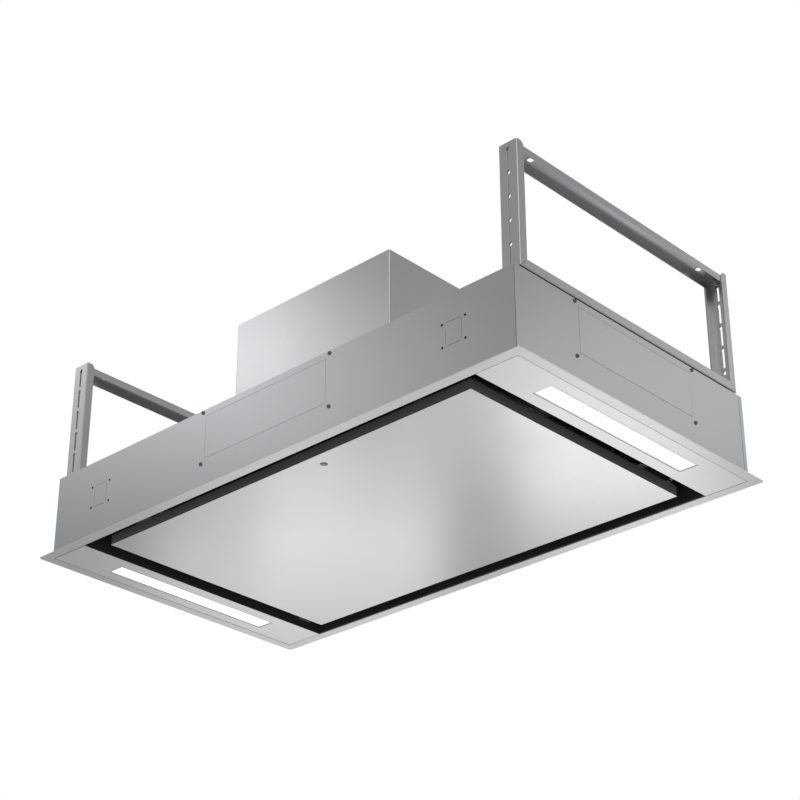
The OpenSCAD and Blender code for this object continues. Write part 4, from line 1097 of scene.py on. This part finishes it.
@dataclass
class Casing(SubAssembly):
    """The four folded walls, their outlet covers, knock-outs and screws, and the top plate."""

    sheet: float = 1.0 * MM
    fold: float = 1.8 * MM
    wrap: float = 8.0 * MM
    tab_drop: float = 1.3 * MM
    outlet_length: float = 231.0 * MM
    cover_lap: float = 8.5 * MM
    cover_gap: float = 0.25 * MM
    cover_soft: float = 0.45 * MM
    screw_out: float = 6.5 * MM
    screw_radius: float = 1.55 * MM
    knock_in: float = 99.4 * MM
    knock_height: float = 70.0 * MM
    knock_size: Pair = (26.4 * MM, 33.0 * MM)
    knock_holes: Pair = (38.0 * MM, 32.0 * MM)
    knock_radius: float = 1.75 * MM
    slit: float = 0.35 * MM
    bridge: float = 1.8 * MM

    def outlet(self) -> Box:
        """The outlet's opening in a wall that faces -Y, at that wall.

        Returns:
            The opening.
        """
        covers, half = Box.of("outlet_covers"), self.outlet_length / 2
        return block(-half, half, covers.low.y - self.sheet, covers.low.y + 2 * self.sheet,
                     covers.low.z + self.cover_lap, covers.high.z - self.cover_lap)

    def screw_holes(self, at: Box) -> Solid:
        """Makes cutters for the four screws round an outlet.

        Args:
            at: The outlet's opening.

        Returns:
            The cutters.
        """
        holes, out = Solid(), self.screw_out
        for x in (at.low.x - out, at.high.x + out):
            for z in (at.low.z - out, at.high.z + out):
                holes.rod((x, at.low.y, z), (x, at.high.y + self.sheet, z), self.screw_radius,
                          segments=16)
        return holes

    def knock_out(self, x: float, y: float) -> Solid:
        """Makes cutters for one cable knock-out: four holes and four slits.

        Args:
            x: Place of its middle.
            y: Place of the wall's outer face.

        Returns:
            The cutters.
        """
        cut, middle, slit = Solid(), self.knock_height, self.slit / 2
        y0, y1 = y - self.sheet, y + 2 * self.sheet
        half_w, half_h = self.knock_size[0] / 2, self.knock_size[1] / 2
        for sx in SIGNS:
            across = x + sx * self.knock_holes[0] / 2
            for up in (middle + sz * self.knock_holes[1] / 2 for sz in SIGNS):
                cut.rod((across, y0, up), (across, y1, up), self.knock_radius, segments=24)
            side, level = x + sx * half_w, middle + sx * half_h
            cut.slab(block(side - slit, side + slit, y0, y1,
                           middle - half_h + self.bridge, middle + half_h - self.bridge))
            cut.slab(block(x - half_w + self.bridge, x + half_w - self.bridge, y0, y1,
                           level - slit, level + slit))
        return cut

    def long_wall(self, knock_outs: bool) -> Solid:
        """Makes the wall that faces -Y, with its wrap at the left and its tab at the right.

        Args:
            knock_outs: Whether it has the cable knock-outs.

        Returns:
            The wall.
        """
        at, sheet = Box.of("front_wall"), self.sheet
        inner = at.low.y + sheet
        wall = slab(at.but(y1=inner))
        wall.plus(slab(at.but(x1=at.low.x + sheet, y1=at.low.y + self.wrap)))
        wall.plus(slab(at.but(x0=at.high.x - sheet, z1=at.high.z - self.tab_drop)))
        wall.round(edges_at(x=at.low.x, y=at.low.y), self.fold)
        wall.round(edges_at(x=at.low.x + sheet, y=inner), self.fold - sheet)
        wall.minus(slab(self.outlet()), self.screw_holes(self.outlet()))
        if knock_outs:
            reach = -at.low.x - self.knock_in
            wall.minus(self.knock_out(reach, at.low.y), self.knock_out(-reach, at.low.y))
        return wall

    def shift(self) -> Matrix:
        """How far along X the front's middle goes before it is turned onto the right wall."""
        reach = Box.of("right_wall").high.x + Box.of("front_wall").low.y
        return Matrix.Translation((reach, 0, 0))

    def short_wall(self) -> Solid:
        """Makes the wall that faces +X.

        Returns:
            The wall.
        """
        opening, place = self.outlet(), self.shift() @ QUARTER_TURN
        cutters = (slab(opening), self.screw_holes(opening))
        return slab(Box.of("right_wall")).minus(*(cutter.moved(place) for cutter in cutters))

    def covers(self) -> Solid:
        """Makes the four outlet covers: each a plate in the opening and a wider backing.

        Returns:
            The covers, at the front, rear, right and left.
        """
        opening, face = self.outlet(), Box.of("front_wall").low.y
        plate = opening.grown(x=-self.cover_gap, z=-self.cover_gap)
        backing = opening.grown(x=self.cover_lap, z=self.cover_lap)
        cover = slab(plate.but(y0=face, y1=face + self.sheet))
        cover.plus(slab(backing.but(y0=face + self.sheet, y1=face + 2 * self.sheet)))
        cover.minus(self.screw_holes(opening))
        shift = self.shift()
        return cover.repeated([Matrix.Identity(4), HALF_TURN,
                               shift @ QUARTER_TURN, HALF_TURN @ shift @ QUARTER_TURN])

    def build(self) -> list[Piece]:
        """Makes the walls, covers and screws.

        Returns:
            The new objects.
        """
        screws = PanScrew().solid().repeated(screw_places("sheet_screws"))
        return [
            self.long_wall(True).piece("front_wall_sheet", Finishes.sheet_x, "front_wall"),
            self.long_wall(False).moved(HALF_TURN).piece("rear_wall_sheet", Finishes.sheet_x,
                                                         "rear_wall"),
            self.short_wall().piece("right_wall_sheet", Finishes.sheet_y, "right_wall"),
            self.short_wall().moved(HALF_TURN).piece("left_wall_sheet", Finishes.sheet_y,
                                                     "left_wall"),
            self.covers().piece("outlet_cover_plates", Finishes.sheet_x, "outlet_covers",
                                soft=self.cover_soft, cut=True),
            screws.piece("pan_head_screws", Finishes.screw, "sheet_screws", soft=0.0),
            Rounded("top_plate", "top_plate_sheet", Finishes.sheet_x).build(),
        ]


@dataclass
class Recess(Fittings):
    """Black intake frame round the panel, with the hinge brackets and catches in it."""

    dressed: Dressings = (
        (Finishes.zinc, ("panel_hinge_pins", "catch_plunger_right", "catch_plunger_left")),
    )
    rounded: Sequence[Rounded] = (
        Rounded("intake_frame", "intake_frame_sheet", Finishes.black, 0.3 * MM, cut=True),
        Rounded("panel_hinge_brackets", "hinge_brackets", Finishes.zinc, 0.6 * MM),
        Rounded("catch_housings", "catch_bodies", Finishes.plastic, 0.9 * MM, segments=3),
    )


@dataclass
class SuctionPanel(SubAssembly):
    """The swinging panel: flat skin, tray on its back, receiver lens and hinge arms."""

    edge: float = 0.45 * MM
    tray_soft: float = 0.4 * MM
    arm_soft: float = 0.3 * MM
    hole_radius: float = 5.0 * MM
    lens_radius: float = 4.9 * MM
    lens_rise: float = 0.15 * MM
    lens_steps: int = 6
    lens_sides: int = 32

    def skin(self) -> Solid:
        """Makes the flat sheet with the receiver's hole.

        Returns:
            The sheet.
        """
        at, lens = Box.of("perimeter_panel"), Box.of("receiver_window").centre
        through = at.grown(z=at.size.z)
        hole = Solid().rod((lens.x, lens.y, through.low.z), (lens.x, lens.y, through.high.z),
                           self.hole_radius, segments=48)
        return slab(at).minus(hole)

    def lens(self) -> Solid:
        """Makes the receiver's round lens, domed by a spin.

        Returns:
            The lens.
        """
        at, dome = Box.of("receiver_window"), Solid()
        x, y = at.centre.x, at.centre.y
        rows = [Vector((x, y, at.high.z)), Vector((x + self.lens_radius, y, at.high.z))]
        for i in range(self.lens_steps + 1):
            turn = i * math.pi / 2 / self.lens_steps
            rows.append(Vector((x + self.lens_radius * math.cos(turn), y,
                                at.low.z + self.lens_rise - self.lens_rise * math.sin(turn))))
        points = [dome.mesh.verts.new(p) for p in rows]
        edges = [dome.mesh.edges.new(pair) for pair in zip(points, points[1:])]
        bmesh.ops.spin(dome.mesh, geom=points + edges, cent=(x, y, 0), axis=(0, 0, 1),
                       angle=2 * math.pi, steps=self.lens_sides, use_merge=True)
        bmesh.ops.remove_doubles(dome.mesh, verts=dome.mesh.verts, dist=NEAR)
        return dome

    def build(self) -> list[Piece]:
        """Makes the panel's pieces.

        Returns:
            The new objects.
        """
        panel = Body.PANEL
        return [
            self.skin().piece("panel_skin", Finishes.satin, "perimeter_panel", body=panel,
                              soft=self.edge, segments=3),
            Rounded("panel_tray", "panel_tray_sheet", Finishes.tray, self.tray_soft,
                    segments=3, body=panel).build(),
            self.lens().piece("receiver_lens", Finishes.lens, "receiver_window", body=panel,
                              soft=0.0),
            Rounded("panel_hinge_arms", "hinge_arms", Finishes.zinc, self.arm_soft,
                    body=panel).build(),
        ]


@dataclass
class LightUnit(SubAssembly):
    """One light, made at the right end: plate, glowing window and the window's rim."""

    side: Side
    sheet: float = 1.0 * MM
    fold: float = 0.8 * MM
    fold_in: float = 11.0 * MM
    window: Pair = (30.0 * MM, 300.0 * MM)
    corner: float = 0.7 * MM
    gap: float = 0.7 * MM
    flange: float = 2.0 * MM
    rim_width: float = 2.9 * MM
    rim_deep: float = 0.4 * MM
    fit: float = 0.2 * MM
    soft: float = 0.15 * MM

    def opening(self, inset: float) -> Box:
        """The window's box, as wide as its opening less an inset all round.

        Args:
            inset: The inset.

        Returns:
            The box.
        """
        at = Box.of("light_window_right")
        half_x, half_y = (length / 2 - inset for length in self.window)
        return at.but(x0=at.centre.x - half_x, x1=at.centre.x + half_x, y0=-half_y, y1=half_y)

    def plate(self) -> Solid:
        """Makes the flat plate with its outer fold and the window's opening.

        Returns:
            The plate.
        """
        at, sheet = Box.of("light_plate_right"), self.sheet
        outer, half = at.high.x, at.high.y - self.fold_in
        made = slab(at.but(z1=at.low.z + sheet))
        made.plus(slab(block(outer - sheet, outer, -half, half, at.low.z, at.high.z)))
        made.round(edges_at(x=outer, z=at.low.z), self.fold)
        hole = self.opening(0.0).but(z0=at.low.z - sheet, z1=at.low.z + 2 * sheet)
        return made.minus(slab(hole).round(hole.uprights, self.corner, segments=3))

    def diffuser(self) -> Solid:
        """Makes the glowing window, a little deeper in the opening than its rim.

        Returns:
            The window.
        """
        face = self.opening(self.gap + self.rim_width)
        lit = slab(face.but(z0=face.low.z + self.rim_deep))
        return lit.round(face.uprights, self.corner, segments=3)

    def rim(self) -> Solid:
        """Makes the window's rim: a ring in the opening and a flange behind the plate.

        Returns:
            The rim.
        """
        at = Box.of("light_window_right")
        hole = self.opening(self.gap + self.rim_width - self.fit).grown(z=self.sheet)
        flange = slab(at.but(z0=at.high.z - self.flange))
        return flange.plus(slab(self.opening(self.gap))).minus(slab(hole))

    def build(self) -> list[Piece]:
        """Makes the unit's pieces.

        Returns:
            The new objects.
        """
        word, turn, side = self.side.word, self.side.turn, Finishes.satin_side
        return [
            self.plate().moved(turn).piece(f"light_plate_sheet_{word}", side,
                                           f"light_plate_{word}"),
            self.diffuser().moved(turn).piece(f"light_diffuser_{word}", Finishes.diffuser,
                                              f"light_window_{word}", soft=self.soft),
            self.rim().moved(turn).piece(f"light_rim_{word}", side, soft=self.soft),
        ]


@dataclass
class LightBacks(Fittings):
    """Housings above the two light plates, with the lamps' boards in them."""

    dressed: Dressings = ((Finishes.white, ("light_boards",)),)
    rounded: Sequence[Rounded] = (Rounded("light_housings", "light_covers", Finishes.black),)


@dataclass
class GreaseFilter(SubAssembly):
    """One grease filter: rim, pleated expanded mesh and the sprung latch."""

    side: Side
    pleat: float = 12.0 * MM
    strand: float = 0.55 * MM
    cell: float = 6.4 * MM
    rim_soft: float = 0.8 * MM
    latch_soft: float = 0.5 * MM

    def pleated_mesh(self) -> Solid:
        """Makes a net of diamonds that follows the pleats.

        Returns:
            The net.
        """
        at, net = Box.of(f"filter_mesh_{self.side.word}"), Solid()
        half_pleats = 2 * int(at.size.x / self.pleat)
        matrix = (Matrix.Translation((at.centre.x, at.centre.y, 0))
                  @ Matrix.Diagonal((at.size.x, at.size.y, 1, 1)))
        bmesh.ops.create_grid(net.mesh, x_segments=2 * half_pleats,
                              y_segments=round(at.size.y / self.cell), size=0.5, matrix=matrix)
        square = [e for e in net.mesh.edges if not e.is_boundary]
        bmesh.ops.poke(net.mesh, faces=net.mesh.faces)
        bmesh.ops.dissolve_edges(net.mesh, edges=square, use_verts=False)
        low, high = at.low.z + self.strand, at.high.z - self.strand
        step = at.size.x / half_pleats
        for vertex in net.mesh.verts:
            turn = (vertex.co.x - at.low.x) / step % 2
            vertex.co.z = low + min(turn, 2 - turn) * (high - low)
        bmesh.ops.wireframe(net.mesh, faces=net.mesh.faces, thickness=self.strand,
                            use_replace=True, use_boundary=True, use_even_offset=True)
        return net

    def build(self) -> list[Piece]:
        """Makes the filter's pieces.

        Returns:
            The new objects.
        """
        word = self.side.word
        latch = f"filter_latch_{word}"
        return [
            Rounded(f"filter_frame_{word}", f"filter_rim_{word}", Finishes.rim, self.rim_soft,
                    segments=3, cut=True).build(),
            self.pleated_mesh().piece(f"filter_net_{word}", Finishes.mesh, f"filter_mesh_{word}",
                                      soft=0.0),
            Rounded(latch, f"filter_latch_slide_{word}", Finishes.plastic, self.latch_soft,
                    body=Body(latch), cut=True).build(),
        ]


@dataclass
class MotorBox(SubAssembly):
    """Folded box over the blower, with its foot flange, and the lid in its top."""

    sheet: float = 1.0 * MM
    fold: float = 2.0 * MM
    foot: float = 12.0 * MM
    seam: float = 0.5 * MM
    spigot_lap: float = 6.0 * MM
    soft: float = 0.3 * MM
    lid_soft: float = 0.4 * MM

    def cutters(self, walls: Box) -> Solid:
        """Makes cutters for the spigot's hole and the slits at the flange's corners.

        Args:
            walls: The box of the four walls.

        Returns:
            The cutters.
        """
        sheet, spigot = self.sheet, Box.of("outlet_spigot")
        x, z = spigot.centre.x, spigot.centre.z
        cutters = Solid().rod((x, walls.high.y - 3 * sheet, z), (x, walls.high.y + sheet, z),
                              spigot.size.z / 2 - self.spigot_lap, segments=96)
        for sx in SIGNS:
            for sy in SIGNS:
                corner = Vector((sx * walls.high.x, sy * walls.high.y, walls.low.z))
                start = Matrix.Translation(corner + Vector((sx, sy, 0)) * sheet)
                slit = slab(block(0, 3 * self.foot, -self.seam / 2, self.seam / 2,
                                  -sheet, 2 * sheet))
                turn = Matrix.Rotation(math.atan2(sy, sx), 4, "Z")
                cutters.join(slit.moved(start @ turn))
        return cutters

    def shell(self) -> Solid:
        """Makes the four walls, rounded at the folds, with their foot flange.

        Returns:
            The shell.
        """
        at = Box.of("motor_box")
        walls = at.grown(x=-self.foot, y=-self.foot)
        inner = walls.grown(x=-self.sheet, y=-self.sheet, z=self.fold)
        outer = slab(walls).round(walls.uprights, self.fold)
        outer.plus(slab(at.but(z1=at.low.z + self.sheet)))
        outer.minus(slab(inner).round(inner.uprights, self.fold - self.sheet))
        return outer.minus(self.cutters(walls))

    def build(self) -> list[Piece]:
        """Makes the box and its lid.

        Returns:
            The new objects.
        """
        return [
            self.shell().piece("motor_box_shell", Finishes.sheet_z, "motor_box", soft=self.soft),
            Rounded("motor_box_lid", "motor_box_lid_sheet", Finishes.sheet_x,
                    self.lid_soft).build(),
        ]


@dataclass
class Blower(Fittings):
    """Scroll, impeller and motor inside the motor box."""

    dressed: Dressings = (
        (Finishes.sheet_x, ("scroll_housing", "scroll_cover", "motor_bracket")),
        (Finishes.sheet_x, ("impeller", "impeller_ring", "impeller_blades")),
        (Finishes.zinc, ("motor_shaft",)),
        (Finishes.rubber, ("blower_feet", "wiring")),
    )
    rounded: Sequence[Rounded] = (
        Rounded("blower_motor", "motor_can", Finishes.motor, 0.9 * MM, segments=3),
    )


@dataclass
class DuctOutlet(Fittings):
    """Duct spigot on the motor box, with its two non-return flaps."""

    dressed: Dressings = (
        (Finishes.plastic, ("flap_right", "flap_left")),
        (Finishes.zinc, ("flap_axle",)),
    )
    rounded: Sequence[Rounded] = (
        Rounded("outlet_spigot", "duct_spigot_tube", Finishes.sheet_y, 0.4 * MM, segments=3),
    )


@dataclass
class ControlBox(Fittings):
    """Control box on the casing, its cover, the gland and what is inside."""

    dressed: Dressings = (
        (Finishes.board, ("power_board",)),
        (Finishes.white, ("terminal_block", "capacitor")),
    )
    rounded: Sequence[Rounded] = (
        Rounded("control_box", "control_box_tray", Finishes.sheet_x),
        Rounded("control_box_cover", "control_box_lid", Finishes.sheet_x, 0.5 * MM, segments=3),
        Rounded("cable_gland", "gland_body", Finishes.plastic, 0.5 * MM, segments=3),
    )


@dataclass
class CeilingBracket(SubAssembly):
    """One telescopic bracket: a fixed lower frame and the sliding upper frame."""

    side: Side
    fold: float = 1.8 * MM

    def folded(self, node: str, web_on_top: bool) -> Solid:
        """Rounds a frame's fold edges, by keeping what lies in a block that has them rounded.

        Args:
            node: The frame's node.
            web_on_top: Whether the channel's web joins the posts at the top.

        Returns:
            The rounded frame.
        """
        at = Box.of(node)
        hull = at.but(z0=at.low.z - self.fold) if web_on_top else at.but(z1=at.high.z + self.fold)
        web = edges_at(x=(at.low.x, at.high.x), z=hull.high.z if web_on_top else hull.low.z)

        def folds(a: Vector, b: Vector) -> bool:
            """Whether an edge is a post's fold or the web's."""
            return abs(a.x - b.x) < NEAR and (at.uprights(a, b) or web(a, b))

        return Solid.of_node(node).tidy().within(slab(hull).round(folds, self.fold))

    def build(self) -> list[Piece]:
        """Makes the two frames.

        Returns:
            The new objects.
        """
        made = []
        for part, body, web_on_top in (("lower", Body.HOOD, False), ("upper", Body.BRACKETS, True)):
            node = f"{part}_bracket_{self.side.word}"
            made.append(self.folded(node, web_on_top).piece(
                f"{part}_frame_{self.side.word}", Finishes.bracket, node, body=body, cut=True))
        return made


@dataclass
class BracketFittings(Fittings):
    """Spacers, bolts and clamp screws of the two brackets."""

    rounded: Sequence[Rounded] = (
        Rounded("bracket_spacers", "spacer_washers", Finishes.rubber, 0.4 * MM),
        Rounded("bracket_bolts", "rail_bolts", Finishes.zinc, 0.4 * MM),
        Rounded("clamp_screws", "post_clamp_screws", Finishes.zinc, 0.5 * MM, segments=3),
        Rounded("clamp_nuts", "post_clamp_nuts", Finishes.zinc, 0.3 * MM),
    )


# Studio


@dataclass(frozen=True)
class Lamp:
    """A soft rectangular lamp: place, width and height, power in watts, and where it aims."""

    name: str
    place: Triple
    size: Pair
    power: float
    aim: Triple = (0.0, 0.0, 0.0)

    def build(self) -> None:
        """Hangs the lamp, turned to its aim."""
        data = bpy.data.lights.new(self.name, "AREA")
        data.shape = "RECTANGLE"
        data.size, data.size_y = self.size
        data.energy = self.power
        made = in_scene(self.name, data)
        made.location = self.place
        way = Vector(self.aim) - Vector(self.place)
        made.rotation_euler = way.to_track_quat("-Z", "Y").to_euler()
        made.visible_camera = False


@dataclass
class Studio:
    """Pale floor, white surroundings, soft lamps and the camera of the photograph."""

    camera_place: Triple = (1.749, -1.833, -1.159)
    camera_yaw: float = 43.25
    camera_pitch: float = 28.03
    lens: float = 90.9
    sensor: float = 36.0
    sight: float = 60.0
    floor_drop: float = 4.2
    floor_half: float = 20.0
    floor_low: Triple = (0.86, 0.86, 0.86)
    floor_high: Triple = (0.90, 0.90, 0.90)
    floor_cloud: float = 0.8
    floor_roughness: float = 0.8
    ambient: float = 0.38
    lamps: list[Lamp] = field(default_factory=lambda: [
        Lamp("lamp_front_low", (-1.13, -1.08, 0.83), (1.10, 0.44), 0.46, (-0.20, -0.20, 0.10)),
        Lamp("lamp_front_high", (-1.20, -0.98, 1.05), (0.48, 0.36), 0.62, (-0.24, -0.20, 0.10)),
        Lamp("lamp_right", (1.19, 1.16, 0.78), (0.95, 0.44), 0.57, (0.44, 0.10, 0.08)),
        Lamp("lamp_folds", (1.25, -1.05, 1.00), (0.80, 0.60), 2.50, (0.40, -0.20, 0.20)),
        Lamp("lamp_below_far_left", (-2.18, 1.58, -1.04), (0.34, 0.36), 0.20),
        Lamp("lamp_below_left", (-1.89, 1.85, -1.13), (0.50, 0.40), 0.50),
        Lamp("lamp_below_front", (-2.06, 1.69, -1.50), (0.46, 0.30), 0.20),
        Lamp("lamp_below_near", (-1.65, 2.07, -1.68), (0.46, 0.30), 0.22),
        Lamp("lamp_below_right", (-1.34, 2.36, -1.53), (0.58, 0.46), 1.08),
        Lamp("lamp_below_far_right", (-1.07, 2.61, -1.35), (0.32, 0.42), 0.08),
        Lamp("lamp_behind_high", (-2.0, 2.8, 2.6), (3.0, 3.0), 32.0, (0.0, 0.0, 0.1)),
    ])

    def build_camera(self) -> None:
        """Places the camera at the photograph's viewing angle."""
        data = bpy.data.cameras.new("camera")
        data.lens = self.lens
        data.sensor_width = self.sensor
        data.clip_end = self.sight
        camera = in_scene("camera", data)
        camera.location = self.camera_place
        camera.rotation_euler = (math.radians(90 + self.camera_pitch), 0,
                                 math.radians(self.camera_yaw))
        bpy.context.scene.camera = camera

    def build_floor(self) -> None:
        """Makes the pale floor, far below the hood."""
        mesh = bmesh.new()
        bmesh.ops.create_grid(mesh, x_segments=4, y_segments=4, size=self.floor_half,
                              matrix=Matrix.Translation((0, 0, -self.floor_drop)))
        data = bpy.data.meshes.new("floor")
        mesh.to_mesh(data)
        mesh.free()
        made = MaterialTree("pale_floor")
        cloud = made.effect(GROUPS.cloud, made.place, Scale=self.floor_cloud)
        made.tone(self.floor_low, self.floor_high, cloud.outputs["Level"])
        made.surface(Roughness=self.floor_roughness)
        data.materials.append(made.material)
        in_scene("floor", data)

    def build_surroundings(self) -> None:
        """White to the camera and a softer even white to the surfaces."""
        world = bpy.data.worlds.new("surroundings")
        world.use_nodes = True
        world.node_tree.nodes.clear()
        made = ShaderTree(world.node_tree)
        white, path = (1, 1, 1, 1), made.add("ShaderNodeLightPath")
        lit, seen = (made.add("ShaderNodeBackground", Color=white, Strength=strength)
                     for strength in (self.ambient, 1.0))
        mix = made.add("ShaderNodeMixShader", Fac=path.outputs["Is Camera Ray"])
        for socket, background in zip(mix.inputs[1:], (lit, seen)):
            made.tree.links.new(background.outputs[0], socket)
        made.add("ShaderNodeOutputWorld", Surface=mix.outputs[0])
        bpy.context.scene.world = world

    def build(self) -> None:
        """Makes the whole studio."""
        self.build_camera()
        self.build_floor()
        for lamp in self.lamps:
            lamp.build()
        self.build_surroundings()
        bpy.context.scene.view_settings.view_transform = "Standard"


def main() -> None:
    """Builds the studio and every sub-assembly in order."""
    logging.basicConfig(level=logging.INFO, format="%(name)s: %(message)s")
    Studio().build()
    assemblies: list[SubAssembly] = [TrimFrame(), Casing(), Recess(), SuctionPanel()]
    for kind in (LightUnit, GreaseFilter, CeilingBracket):
        assemblies += [kind(side) for side in Side]
    assemblies += [LightBacks(), MotorBox(), Blower(), DuctOutlet(), ControlBox(),
                   BracketFittings()]
    for assembly in assemblies:
        assembly.report()


if __name__ == "__main__":
    main()
